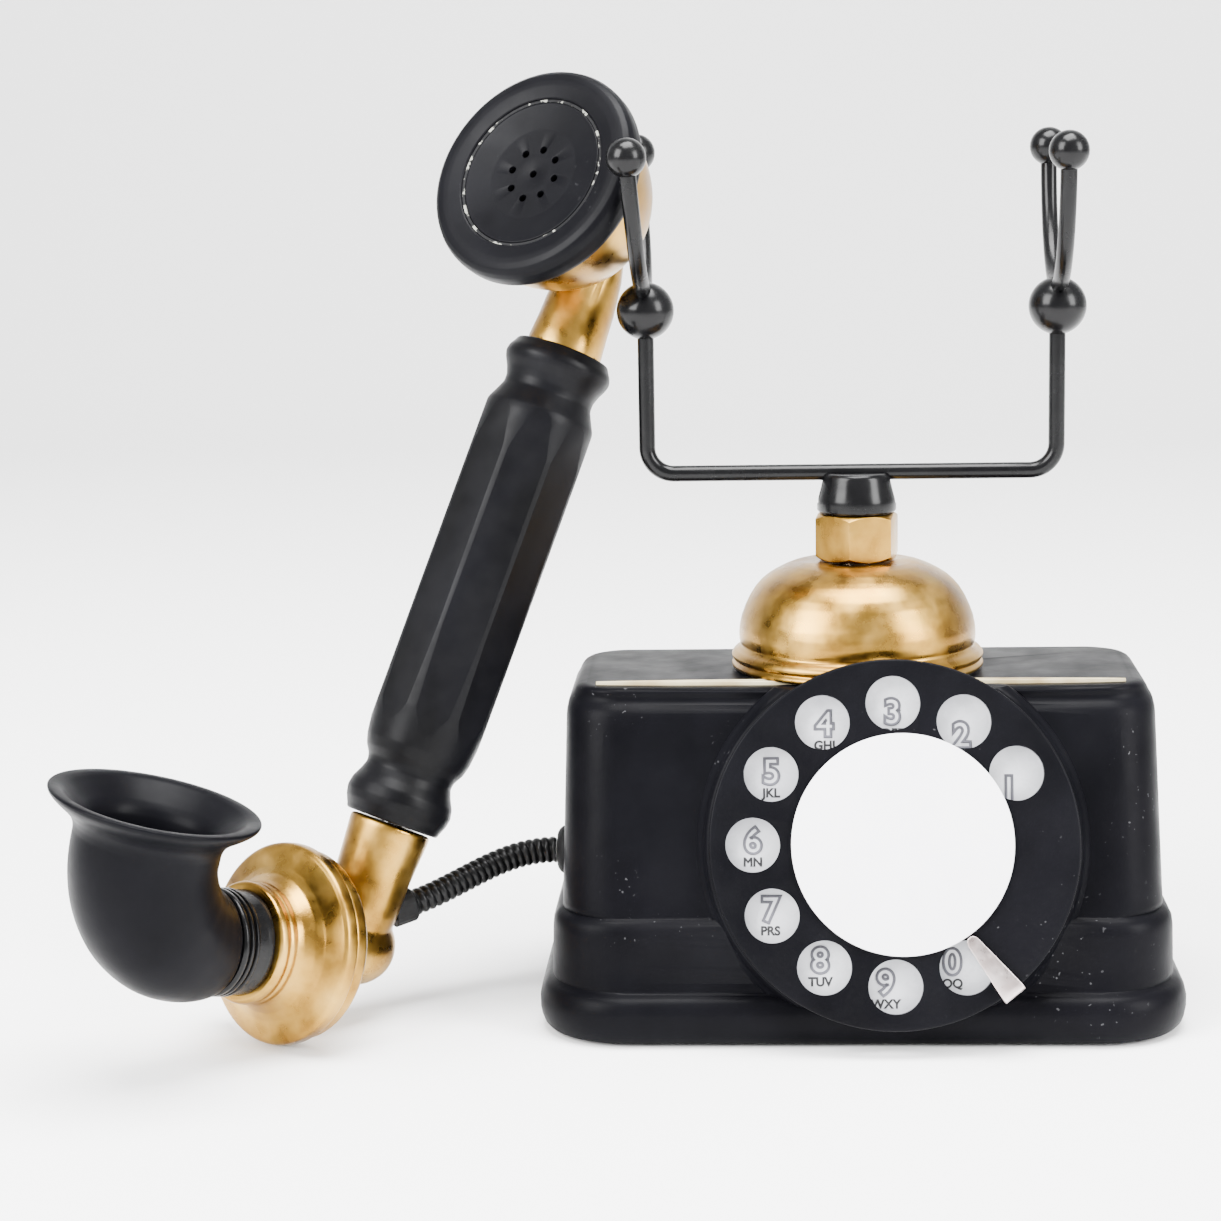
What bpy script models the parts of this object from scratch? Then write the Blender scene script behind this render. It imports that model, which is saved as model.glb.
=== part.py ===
"""A French-style cradle telephone, as separate pieces.

Metres, +Z up. The dial faces -Y, and the origin is the centre of the felt's underside, on the table.
The handset is off its rest: its lower end stands on the table, and its neck leans in the left fork.
"""

import math

import bmesh
import bpy
from mathutils import Matrix, Vector

MM = 0.001
GAP = 0.3 * MM  # between two pieces that touch
RUNNING_GAP = 0.4 * MM  # round a piece that turns or slides

# Body casting
WALL = 3.0 * MM
FELT_THICKNESS = 1.3 * MM
CASTING_BOTTOM = 1.0 * MM
PLINTH_SIZE = (145.0 * MM, 91.4 * MM)
PLINTH_TOP = 11.5 * MM
STEP_SIZE = (139.0 * MM, 81.6 * MM)
STEP_TOP = 27.5 * MM
BLOCK_WIDTH = 133.8 * MM
BLOCK_FOOT_DEPTH = 76.0 * MM
BLOCK_TOP_WIDTH = 131.8 * MM
BLOCK_TOP_DEPTH = 51.5 * MM
BLOCK_TOP = 77.0 * MM
SHOULDER = 4.0 * MM
CORNER_RADIUS = 12.0 * MM
PANEL_DEPTH = 0.8 * MM
PANEL_MARGIN = 3.2 * MM
SCREW_POST_RADIUS = 5.0 * MM
SCREW_INSET = (8.0 * MM, 12.6 * MM)  # from the step's sides, and from its front and back
SCREW_RADIUS = 1.5 * MM
SCREW_HEAD_RADIUS = 2.8 * MM
SCREW_LENGTH = 11.0 * MM
PLATE_THICKNESS = 1.6 * MM
TRIM_LENGTH = 118.0 * MM
TRIM_WIDTH = 2.4 * MM
TRIM_THICKNESS = 1.0 * MM

# Dial
DIAL_OFFSET = 6.8 * MM  # to the right of the body's middle
DIAL_HEIGHT = 43.5 * MM  # where its axis leaves the front
BOSS_RADIUS = 41.5 * MM
BOSS_HEIGHT = 3.5 * MM
BOSS_FLARE = 2.0 * MM
CUP_RADIUS = 31.0 * MM
CUP_DEPTH = 19.0 * MM
CUP_WALL = 1.2 * MM
NUMBER_PLATE_RADIUS = 37.2 * MM
WHEEL_RADIUS = 40.4 * MM
WHEEL_THICKNESS = 2.0 * MM
WHEEL_CLEARANCE = 1.5 * MM  # behind the wheel, over the number plate
FINGER_HOLE_RADIUS = 5.95 * MM
FINGER_CIRCLE_RADIUS = 30.8 * MM
FIRST_HOLE_ANGLE = 30.0
HOLE_PITCH = 30.0
LABEL_RADIUS = 24.2 * MM
LABEL_SHIFT = 1.8 * MM  # the card sits a little to the right
SPINDLE_RADIUS = 2.5 * MM
STOP_ANGLE = -51.7
GEAR_TEETH = 36
PINION_TEETH = 9
GEAR_MODULE = 0.8 * MM
GOVERNOR_ANGLE = 150.0

# Bell, with the post and the guide above it
GONG_RADIUS = 28.75 * MM
GONG_HEIGHT = 24.2 * MM
GONG_WALL = 1.5 * MM
POST_RADIUS = 5.0 * MM
POST_BORE = 2.6 * MM
BELL_NUT_CORNER = 10.0 * MM
BELL_NUT_HEIGHT = 10.7 * MM
BELL_NUT_TURN = -11.0
GUIDE_RADIUS = (9.0 * MM, 7.7 * MM)
GUIDE_HEIGHT = 8.9 * MM
CRADLE_TRAVEL = 5.0 * MM

# Cradle
WIRE_RADIUS = 1.85 * MM
CRADLE_SPAN = 92.6 * MM
CRADLE_OFFSET = -1.2 * MM
CRADLE_BEND = 6.0 * MM
BALL_HEIGHT = 37.1 * MM  # of a ball's middle, over the bar
BALL_RADIUS = 6.5 * MM
FORK_HALF_SPREAD = 24.6 * MM
FORK_HEIGHT = 30.5 * MM
FORK_SEAT = 4.4 * MM  # the fork's foot, over its ball's middle
FORK_LEAN = (-4.3, 0.0)
TIP_RADIUS = 4.4 * MM

# Handset, placed by two points on the middle line of its grip
HANDSET_FOOT = Vector((-116.5, -24.1, 18.0)) * MM
HANDSET_TOP = Vector((-57.3, 19.0, 174.8)) * MM
GRIP_START = 29.5 * MM  # up the middle line from the foot
GRIP_LENGTH = 115.0 * MM
GRIP_RADIUS = 13.65 * MM
GRIP_FLATS = 25.6 * MM
GRIP_BORE = 4.0 * MM
ROD_RADIUS = 2.5 * MM
ROD_GRIP = 8.0 * MM  # of the rod's ends in the two necks
NECK_RADIUS = 8.4 * MM

# Receiver, facing its own way from the top point
RECEIVER_NORMAL = Vector((-0.442, -0.762, 0.473))
RECEIVER_RADIUS = 25.6 * MM
RECEIVER_FRONT = 34.6 * MM  # from the middle line to the cap's rim
CAP_THICKNESS = 7.0 * MM
SHELL_RADIUS = 22.3 * MM
SHELL_BACK = -1.5 * MM
CAPSULE_RADIUS = 17.2 * MM
CAPSULE_DEPTH = 11.6 * MM

# Transmitter, facing its own way from the foot
TRANSMITTER_NORMAL = Vector((-0.614, -0.753, 0.235))
BARREL_RADIUS = 9.3 * MM
BARREL_BACK = -11.5 * MM
CASE_BACK = 13.2 * MM
CASE_RADIUS = 21.3 * MM
CASE_DEPTH = 4.3 * MM
DISC_RADIUS = 22.4 * MM
DISC_FRONT = 21.5 * MM
BOSS_TOP = 32.4 * MM
MOUTH_BORE = 7.5 * MM
COLLAR_RADIUS = 11.9 * MM
COLLAR_LENGTH = 8.8 * MM
HORN_BEND = 20.0 * MM
HORN_TURN = 86.0
HORN_LEAN = 4.4  # of its mouth, sideways
HORN_RISE = 11.7 * MM
HORN_RADIUS = 15.8 * MM
HORN_RIM_RADIUS = 23.4 * MM
HORN_WALL = 2.8 * MM

# Armoured cord from the lower neck to the body's left side
CORD_RADIUS = 3.08 * MM
OUTLET_UP_NECK = 5.0 * MM
OUTLET_DIRECTION = Vector((0.84, 0.47, 0.20))
OUTLET_SOCKET = 9.0 * MM  # from the neck's middle line to the socket's floor
FERRULE_RADIUS = 4.0 * MM
FERRULE_LENGTH = 5.5 * MM
GLAND_HEIGHT = 34.0 * MM
GLAND_RADIUS = 5.6 * MM
GLAND_NOSE = 3.0 * MM
CORD_HANDLE = 13.0 * MM  # how far the cord holds to each end's direction

# Works inside the body
PLUNGER_FOOT = 44.0 * MM
PLUNGER_COLLAR = 60.3 * MM
SPRING_SEAT = 50.0 * MM
PLATE_STOCK = 2.0 * MM
LEVER_PIVOT_OFFSET = 14.0 * MM  # to the plunger's left
LEVER_THICKNESS = 3.2 * MM
PIN_RADIUS = 1.5 * MM
ARMATURE_PIVOT = Vector((28.0, 15.0, 34.0)) * MM
COIL_SPACING = 19.0 * MM
COIL_RADIUS = 6.5 * MM
STRIKER_X = GONG_RADIUS - 8.45 * MM
STRIKER_BALL_RADIUS = 2.8 * MM


def clear_scene():
    for obj in list(bpy.data.objects):
        bpy.data.objects.remove(obj, do_unlink=True)


def collection(name, shown=True):
    made = bpy.data.collections.new(name)
    bpy.context.scene.collection.children.link(made)
    made.hide_render = not shown
    return made


def material(name, colour, roughness, metallic=0.0):
    made = bpy.data.materials.new(name)
    made.use_nodes = True
    shader = made.node_tree.nodes["Principled BSDF"]
    shader.inputs["Base Color"].default_value = (*colour, 1.0)
    shader.inputs["Roughness"].default_value = roughness
    shader.inputs["Metallic"].default_value = metallic
    return made


clear_scene()
PARTS = collection("cradle_telephone")
HELPERS = collection("helpers", shown=False)

BLACK_PAINT = material("black_satin_paint", (0.012, 0.012, 0.014), 0.45)
BLACK_GRIP = material("black_lacquered_wood", (0.010, 0.010, 0.012), 0.40)
BLACK_WIRE = material("black_enamelled_steel", (0.010, 0.010, 0.011), 0.25, 0.3)
BLACK_RUBBER = material("black_rubber", (0.015, 0.015, 0.015), 0.7)
BRASS = material("gilded_brass", (0.72, 0.50, 0.18), 0.35, 1.0)
IVORY = material("ivory_enamel", (0.80, 0.78, 0.74), 0.3)
WHITE_CARD = material("white_card", (0.88, 0.87, 0.90), 0.6)
STEEL = material("plated_steel", (0.60, 0.60, 0.61), 0.3, 1.0)
SPRING_STEEL = material("spring_steel", (0.35, 0.35, 0.37), 0.35, 1.0)
COPPER = material("enamelled_copper", (0.55, 0.22, 0.10), 0.4, 1.0)
BAKELITE = material("brown_bakelite", (0.06, 0.03, 0.02), 0.4)
FELT = material("green_felt", (0.05, 0.12, 0.07), 0.95)
CAPSULE = material("capsule_alloy", (0.25, 0.25, 0.26), 0.4, 1.0)


def empty(name, matrix):
    made = bpy.data.objects.new(name, None)
    made.matrix_world = matrix
    made.empty_display_size = 0.02
    PARTS.objects.link(made)
    return made


def add(name, data, finish, parent=None, matrix=None, helper=False):
    """Put mesh or curve data in the scene; matrix is local to the parent."""
    made = bpy.data.objects.new(name, data)
    (HELPERS if helper else PARTS).objects.link(made)
    made.parent = parent
    made.matrix_local = matrix or Matrix()
    if helper:
        made.hide_render = True
        made.display_type = "WIRE"
    else:
        data.materials.append(finish)
    return made


def frame_at(origin, direction, up=Vector((0, 0, 1))):
    """A matrix with its Z along direction and its Y as near to up as it can be."""
    z = direction.normalized()
    y = (up - up.dot(z) * z).normalized()
    turn = Matrix((y.cross(z), y, z)).transposed().to_4x4()
    return Matrix.Translation(origin) @ turn


def smoothed(mesh, angle=35.0):
    mesh.shade_smooth()
    mesh.set_sharp_from_angle(angle=math.radians(angle))
    return mesh


def mesh_from(name, bm):
    bmesh.ops.recalc_face_normals(bm, faces=bm.faces)
    mesh = bpy.data.meshes.new(name)
    bm.to_mesh(mesh)
    bm.free()
    return smoothed(mesh)


def turned(name, profile, finish=None, parent=None, matrix=None, steps=32, closed=False, helper=False):
    """Turn (radius, height) points about local Z; a closed profile makes a ring or a tube."""
    mesh = bpy.data.meshes.new(name)
    count = len(profile)
    edges = [(i, i + 1) for i in range(count - 1)]
    if closed:
        edges.append((count - 1, 0))
    mesh.from_pydata([(r, 0.0, h) for r, h in profile], edges, [])
    made = add(name, mesh, finish, parent, matrix, helper)
    screw = made.modifiers.new("turn", "SCREW")
    screw.steps = steps
    screw.render_steps = steps
    screw.use_merge_vertices = True
    screw.merge_threshold = 0.00005
    screw.use_smooth_shade = True
    return made


def arc(centre, radius, start, end, steps):
    """Points of an arc in the (radius, height) plane, angles in degrees."""
    angles = [math.radians(start + (end - start) * i / steps) for i in range(steps + 1)]
    return [(centre[0] + radius * math.cos(a), centre[1] + radius * math.sin(a)) for a in angles]


def cylinder(name, radius, low, high, finish=None, parent=None, matrix=None, steps=24, helper=False):
    profile = [(0, high), (radius, high), (radius, low), (0, low)]
    return turned(name, profile, finish, parent, matrix, steps, helper=helper)


def tube(name, outer, inner, low, high, finish, parent=None, matrix=None, steps=24):
    profile = [(inner, high), (outer, high), (outer, low), (inner, low)]
    return turned(name, profile, finish, parent, matrix, steps, closed=True)


def loft_sides(bm, loops, through=False):
    pairs = list(zip(loops, loops[1:]))
    if through:
        pairs.append((loops[-1], loops[0]))
    for low, high in pairs:
        for i in range(len(low)):
            j = (i + 1) % len(low)
            bm.faces.new((low[i], low[j], high[j], high[i]))
    if not through:
        bm.faces.new(list(reversed(loops[0])))
        bm.faces.new(loops[-1])


def loft(name, rings, finish=None, parent=None, matrix=None, helper=False, through=False):
    """Skin a stack of rings that have the same number of points; through joins the last to the first."""
    bm = bmesh.new()
    loft_sides(bm, [[bm.verts.new(point) for point in ring] for ring in rings], through)
    return add(name, mesh_from(name, bm), finish, parent, matrix, helper)


def box(name, low, high, finish=None, parent=None, matrix=None, bevel=0.0, helper=False):
    bm = bmesh.new()
    bmesh.ops.create_cube(bm, size=1.0)
    size = Vector(high) - Vector(low)
    bmesh.ops.scale(bm, vec=size, verts=bm.verts)
    bmesh.ops.translate(bm, vec=(Vector(high) + Vector(low)) / 2, verts=bm.verts)
    made = add(name, mesh_from(name, bm), finish, parent, matrix, helper)
    if bevel:
        edge = made.modifiers.new("edges", "BEVEL")
        edge.width = bevel
        edge.segments = 2
    return made


def ball(name, radius, centre, finish, parent=None, segments=20, rings=12, helper=False):
    bm = bmesh.new()
    bmesh.ops.create_uvsphere(bm, u_segments=segments, v_segments=rings, radius=radius)
    return add(name, mesh_from(name, bm), finish, parent, Matrix.Translation(centre), helper)


def boolean(target, tool, operation):
    step = target.modifiers.new(tool.name, "BOOLEAN")
    step.operation = operation
    step.object = tool
    return target


def wire(name, points, radius, finish=None, parent=None, matrix=None, radii=None, sides=2):
    """A round wire or pipe through the points; radii are shares of radius."""
    data = bpy.data.curves.new(name, "CURVE")
    data.dimensions = "3D"
    data.bevel_depth = radius
    data.bevel_resolution = sides
    data.use_fill_caps = True
    spline = data.splines.new("POLY")
    spline.points.add(len(points) - 1)
    for index, point in enumerate(points):
        spline.points[index].co = (*point, 1.0)
        spline.points[index].radius = radii[index] if radii else 1.0
    return add(name, data, finish, parent, matrix)


def meshed(obj, helper=False, finish=None):
    """Change a curve object to a mesh with welded caps."""
    bpy.context.view_layer.update()
    graph = bpy.context.evaluated_depsgraph_get()
    mesh = bpy.data.meshes.new_from_object(obj.evaluated_get(graph))
    bm = bmesh.new()
    bm.from_mesh(mesh)
    bmesh.ops.remove_doubles(bm, verts=bm.verts, dist=0.00001)
    bmesh.ops.recalc_face_normals(bm, faces=bm.faces)
    bm.to_mesh(mesh)
    bm.free()
    smoothed(mesh)
    name, parent, local = obj.name, obj.parent, obj.matrix_local.copy()
    finish = finish or (obj.data.materials[0] if obj.data.materials else None)
    bpy.data.objects.remove(obj, do_unlink=True)
    mesh.materials.clear()
    return add(name, mesh, finish, parent, local, helper)


def prism(name, outline, low, high, finish=None, parent=None, matrix=None, helper=False):
    """Extrude an (x, y) outline between two heights: a filled flat curve, made a mesh."""
    data = bpy.data.curves.new(name, "CURVE")
    data.dimensions = "2D"
    data.fill_mode = "BOTH"
    data.extrude = (high - low) / 2
    spline = data.splines.new("POLY")
    spline.points.add(len(outline) - 1)
    for index, (x, y) in enumerate(outline):
        spline.points[index].co = (x, y, 0.0, 1.0)
    spline.use_cyclic_u = True
    flat = add(name, data, finish or STEEL, parent, matrix, helper=False)
    made = meshed(flat, helper, finish)
    made.data.transform(Matrix.Translation((0, 0, (low + high) / 2)))
    return made


def rounded_path(corners, radius, steps):
    """The corners' polyline with each inner corner rounded."""
    points = [Vector(corners[0])]
    for before, corner, after in zip(corners, corners[1:], corners[2:]):
        corner = Vector(corner)
        back = (Vector(before) - corner).normalized()
        onward = (Vector(after) - corner).normalized()
        half = back.angle(onward) / 2
        setback = radius / math.tan(half)
        centre = corner + (back + onward).normalized() * (radius / math.sin(half))
        start = (corner + back * setback - centre).normalized()
        end = (corner + onward * setback - centre).normalized()
        points += [centre + radius * start.slerp(end, i / steps) for i in range(steps + 1)]
    return points + [Vector(corners[-1])]


def bezier_path(start, start_handle, end_handle, end, count):
    """Points of one cubic curve between two ends."""
    points = []
    for i in range(count + 1):
        t = i / count
        k = 1 - t
        points.append(k**3 * start + 3 * k * k * t * start_handle + 3 * k * t * t * end_handle + t**3 * end)
    return points


# ---------------------------------------------------------------- body

STEP_FLARE = 0.7 * MM
HOLLOW_CORNER = 12.0 * MM


def rounded_ring(half_width, half_depth, radius, z, steps=4):
    """A rounded rectangle at height z, counter-clockwise from above."""
    ring = []
    for quarter, (sx, sy) in enumerate(((1, 1), (-1, 1), (-1, -1), (1, -1))):
        cx = sx * (half_width - radius)
        cy = sy * (half_depth - radius)
        for x, y in arc((cx, cy), radius, 90 * quarter, 90 * quarter + 90, steps):
            ring.append((x, y, z))
    return ring


def block_half_depth(z):
    """Half the block's depth at height z, on its sloping front and back."""
    share = (z - STEP_TOP) / (BLOCK_TOP - STEP_TOP)
    return (BLOCK_FOOT_DEPTH + (BLOCK_TOP_DEPTH - BLOCK_FOOT_DEPTH) * share) / 2


def block_half_width(z):
    share = (z - STEP_TOP) / (BLOCK_TOP - STEP_TOP)
    return (BLOCK_WIDTH + (BLOCK_TOP_WIDTH - BLOCK_WIDTH) * share) / 2


def plinth_rings():
    half_width, half_depth = PLINTH_SIZE[0] / 2, PLINTH_SIZE[1] / 2
    height = PLINTH_TOP - CASTING_BOTTOM
    bulge = ((0.0, 2.0), (0.18, 0.6), (0.5, 0.0), (0.8, 0.5), (1.0, 2.2))
    return [
        rounded_ring(half_width - inset * MM, half_depth - inset * MM, 19 * MM,
        CASTING_BOTTOM + share * height)
        for share, inset in bulge
    ]


def step_rings():
    half_width, half_depth = STEP_SIZE[0] / 2, STEP_SIZE[1] / 2
    height = STEP_TOP - PLINTH_TOP
    sides = ((0.04, 0.0), (0.3, 0.5), (0.85, 0.9), (0.96, 1.5), (1.0, 2.6))
    return [
        rounded_ring(half_width - inset * MM, half_depth - inset * MM, 15 * MM, PLINTH_TOP + share * height)
        for share, inset in sides
    ]


def block_rings():
    rings = []
    for z in (STEP_TOP + 0.6 * MM, BLOCK_TOP - SHOULDER):
        rings.append(rounded_ring(block_half_width(z), block_half_depth(z), CORNER_RADIUS, z))
    for angle in (22, 45, 68, 90):
        turn = math.radians(angle)
        z = BLOCK_TOP - SHOULDER * (1 - math.sin(turn))
        inset = SHOULDER * (1 - math.cos(turn))
        half_width, half_depth = block_half_width(z) - inset, block_half_depth(z) - inset
        rings.append(rounded_ring(half_width, half_depth, CORNER_RADIUS - inset, z))
    return rings


def hollow_rings():
    """The hollow, from its roof down to the open bottom."""
    roof, bend = BLOCK_TOP - WALL, BLOCK_TOP - WALL - SHOULDER
    low_half_width = STEP_SIZE[0] / 2 - WALL - STEP_FLARE
    low_half_depth = STEP_SIZE[1] / 2 - WALL - STEP_FLARE
    ledge = STEP_TOP - WALL
    foot = ledge + WALL / 2
    corner = CORNER_RADIUS - WALL
    return [
        rounded_ring(block_half_width(roof) - WALL - SHOULDER / 2,
        block_half_depth(roof) - WALL - SHOULDER / 2,
                     corner - 1 * MM, roof),
        rounded_ring(block_half_width(bend) - WALL, block_half_depth(bend) - WALL, corner, bend),
        rounded_ring(block_half_width(foot) - WALL, block_half_depth(foot) - WALL, corner, foot),
        rounded_ring(low_half_width, low_half_depth, HOLLOW_CORNER, ledge),
        rounded_ring(low_half_width, low_half_depth, HOLLOW_CORNER, CASTING_BOTTOM),
    ]


def front_slope():
    """How far the block's front leans back, in radians from upright."""
    return math.atan2(block_half_depth(STEP_TOP) - block_half_depth(BLOCK_TOP), BLOCK_TOP - STEP_TOP)


SLOPE = front_slope()
DIAL_NORMAL = Vector((0, -math.cos(SLOPE), math.sin(SLOPE)))
DIAL_ORIGIN = Vector((DIAL_OFFSET, -block_half_depth(DIAL_HEIGHT), DIAL_HEIGHT))
DIAL_MATRIX = frame_at(DIAL_ORIGIN, DIAL_NORMAL)
# Heights over the front, along the dial's axis
PLATE_LOW = BOSS_HEIGHT + 2 * GAP + 1.0 * MM
PLATE_HIGH = PLATE_LOW + 0.8 * MM
WHEEL_LOW = PLATE_HIGH + WHEEL_CLEARANCE
WHEEL_HIGH = WHEEL_LOW + WHEEL_THICKNESS

SCREW_PLACES = [
    (sx * (STEP_SIZE[0] / 2 - SCREW_INSET[0]), sy * (STEP_SIZE[1] / 2 - SCREW_INSET[1]))
    for sx in (-1, 1)
    for sy in (-1, 1)
]
PLATE_BOTTOM = FELT_THICKNESS + GAP
PLATE_TOP = PLATE_BOTTOM + PLATE_THICKNESS
BELL_BASE = BLOCK_TOP + 2 * GAP
GONG_CROWN = BELL_BASE + GONG_HEIGHT
STRIKER_SLOT = ((STRIKER_X - 5.0 * MM, -4.0 * MM), (STRIKER_X + 4.0 * MM, 4.0 * MM))


def pointed_slit(length, width, steps=8):
    """A lens-shaped outline along X."""
    half = length / 2
    xs = [half * math.sin(math.pi / 2 * i / steps) for i in range(-steps, steps + 1)]
    edge = [(x, width / 2 * (1 - (x / half) ** 4)) for x in xs]
    return edge[::-1] + [(x, -y) for x, y in edge[1:-1]]


TRIM_Y = -(block_half_depth(BLOCK_TOP) - SHOULDER) + TRIM_WIDTH / 2 + 2 * GAP


def make_housing():
    rings = hollow_rings() + plinth_rings() + step_rings() + block_rings()
    housing = loft("housing", rings, BLACK_PAINT)
    boss_profile = [
        (0, BOSS_HEIGHT),
        (BOSS_RADIUS - 1.2 * MM, BOSS_HEIGHT),
        (BOSS_RADIUS - 0.2 * MM, BOSS_HEIGHT - 0.8 * MM),
        (BOSS_RADIUS + BOSS_FLARE * 0.3, BOSS_HEIGHT * 0.35),
        (BOSS_RADIUS + BOSS_FLARE, 0),
        (BOSS_RADIUS + BOSS_FLARE, 0.1 * MM - WALL),
        (0, 0.1 * MM - WALL),
    ]
    boss = turned("boss_form", boss_profile, matrix=DIAL_MATRIX, steps=48, helper=True)
    room = box("boss_room", (-0.1, -0.1, PLINTH_TOP - 1.5 * MM), (0.1, 0.1, BELL_BASE - GAP), helper=True)
    boolean(boss, room, "INTERSECT")
    panel_low = STEP_TOP + 1.2 * MM
    panel_high = BLOCK_TOP - SHOULDER - 1.0 * MM
    half = BLOCK_TOP_WIDTH / 2 - PANEL_MARGIN
    panel_frame = frame_at(Vector((0, -block_half_depth(panel_low), panel_low)), DIAL_NORMAL)
    height = (panel_high - panel_low) / math.cos(SLOPE)
    outline = arc((half - 7 * MM, height - 7 * MM), 7 * MM, 0, 90, 4)
    outline += [(-x, y) for x, y in reversed(outline)] + [(-half, 0), (half, 0)]
    panel = prism("panel_form", outline, -PANEL_DEPTH, 4 * MM, matrix=panel_frame, helper=True)
    boolean(housing, panel, "DIFFERENCE")
    boolean(housing, boss, "UNION")
    posts = []
    for index, (x, y) in enumerate(SCREW_PLACES):
        post = cylinder(
            f"post_form_{index}", SCREW_POST_RADIUS, PLATE_TOP + GAP, STEP_TOP - WALL / 2,
            matrix=Matrix.Translation((x, y, 0)), steps=16, helper=True,
        )
        posts.append(post)
        boolean(housing, post, "UNION")
    for index, (x, y) in enumerate(SCREW_PLACES):
        bore = cylinder(
            f"post_bore_{index}", SCREW_RADIUS + GAP, 0, PLATE_BOTTOM + SCREW_LENGTH + GAP,
            matrix=Matrix.Translation((x, y, 0)), steps=12, helper=True,
        )
        boolean(housing, bore, "DIFFERENCE")
    cutters = [
        cylinder("dial_bore", CUP_RADIUS + GAP, -14 * MM, 12 * MM, matrix=DIAL_MATRIX, steps=40,
        helper=True),
        cylinder("bell_bore", POST_RADIUS + GAP, BLOCK_TOP - 8 * MM, BLOCK_TOP + 4 * MM, helper=True),
        box(
            "striker_slot", (*STRIKER_SLOT[0], BLOCK_TOP - 8 * MM), (*STRIKER_SLOT[1], BLOCK_TOP + 4 * MM),
            helper=True,
        ),
        cylinder(
            "gland_bore", CORD_RADIUS + 0.6 * MM + GAP, -8 * MM, 8 * MM,
            matrix=frame_at(GLAND_PLACE, Vector((-1, 0, 0))), helper=True,
        ),
        prism(
            "trim_groove", pointed_slit(TRIM_LENGTH + 2 * GAP, TRIM_WIDTH + 2 * GAP),
            BLOCK_TOP - TRIM_THICKNESS - GAP, BLOCK_TOP + 4 * MM,
            matrix=Matrix.Translation((0, TRIM_Y, 0)), helper=True,
        ),
    ]
    for cutter in cutters:
        boolean(housing, cutter, "DIFFERENCE")
    return housing


def make_base():
    half_width = STEP_SIZE[0] / 2 - WALL - STEP_FLARE - GAP
    half_depth = STEP_SIZE[1] / 2 - WALL - STEP_FLARE - GAP
    low = rounded_ring(half_width, half_depth, HOLLOW_CORNER - GAP, PLATE_BOTTOM)
    high = rounded_ring(half_width, half_depth, HOLLOW_CORNER - GAP, PLATE_TOP)
    plate = loft("base_plate", [low, high], STEEL)
    head = 1.2 * MM
    for index, (x, y) in enumerate(SCREW_PLACES):
        place = Matrix.Translation((x, y, PLATE_BOTTOM))
        sink = [
            (0, PLATE_THICKNESS + GAP), (SCREW_RADIUS + GAP, PLATE_THICKNESS + GAP),
            (SCREW_RADIUS + GAP, head), (SCREW_HEAD_RADIUS + GAP, 0), (SCREW_HEAD_RADIUS + GAP, -GAP),
            (0, -GAP),
        ]
        boolean(plate, turned(f"sink_{index}", sink, matrix=place, steps=16, helper=True), "DIFFERENCE")
        screw = [
            (0, SCREW_LENGTH), (SCREW_RADIUS - 0.4 * MM, SCREW_LENGTH),
            (SCREW_RADIUS, SCREW_LENGTH - 0.8 * MM),
            (SCREW_RADIUS, head), (SCREW_HEAD_RADIUS, 0.1 * MM), (SCREW_HEAD_RADIUS, 0), (0, 0),
        ]
        turned(f"base_screw_{index + 1}", screw, STEEL, matrix=place, steps=16)
    inset = 3 * MM
    felt = [
        rounded_ring(half_width - inset, half_depth - inset, 9 * MM, z) for z in (0.0, FELT_THICKNESS)
    ]
    loft("felt_pad", felt, FELT)
    prism(
        "top_trim", pointed_slit(TRIM_LENGTH, TRIM_WIDTH), BLOCK_TOP - TRIM_THICKNESS, BLOCK_TOP + 0.1 * MM,
        BRASS, matrix=Matrix.Translation((0, TRIM_Y, 0)),
    )


GLAND_PLACE = Vector((-block_half_width(GLAND_HEIGHT), 0, GLAND_HEIGHT))


def make_cord_gland():
    neck = CORD_RADIUS + 0.6 * MM
    inside = -WALL - 3 * MM
    profile = [
        (0, GLAND_NOSE), (GLAND_RADIUS - 1.2 * MM, GLAND_NOSE), (GLAND_RADIUS, GLAND_NOSE - 1 * MM),
        (GLAND_RADIUS, GAP), (neck, GAP), (neck, inside), (0, inside),
    ]
    turned("cord_gland", profile, BLACK_RUBBER, matrix=frame_at(GLAND_PLACE, Vector((-1, 0, 0))), steps=24)


# ---------------------------------------------------------------- dial


def gear_outline(teeth, phase=0.0):
    """Straight-flanked teeth about the pitch circle."""
    pitch = teeth * GEAR_MODULE / 2
    tip, root = pitch + 0.7 * GEAR_MODULE, pitch - 0.95 * GEAR_MODULE
    outline = []
    for tooth in range(teeth):
        for share, radius in ((-0.30, root), (-0.12, tip), (0.12, tip), (0.30, root)):
            angle = 2 * math.pi * (tooth + share + phase) / teeth
            outline.append((radius * math.cos(angle), radius * math.sin(angle)))
    return outline


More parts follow.
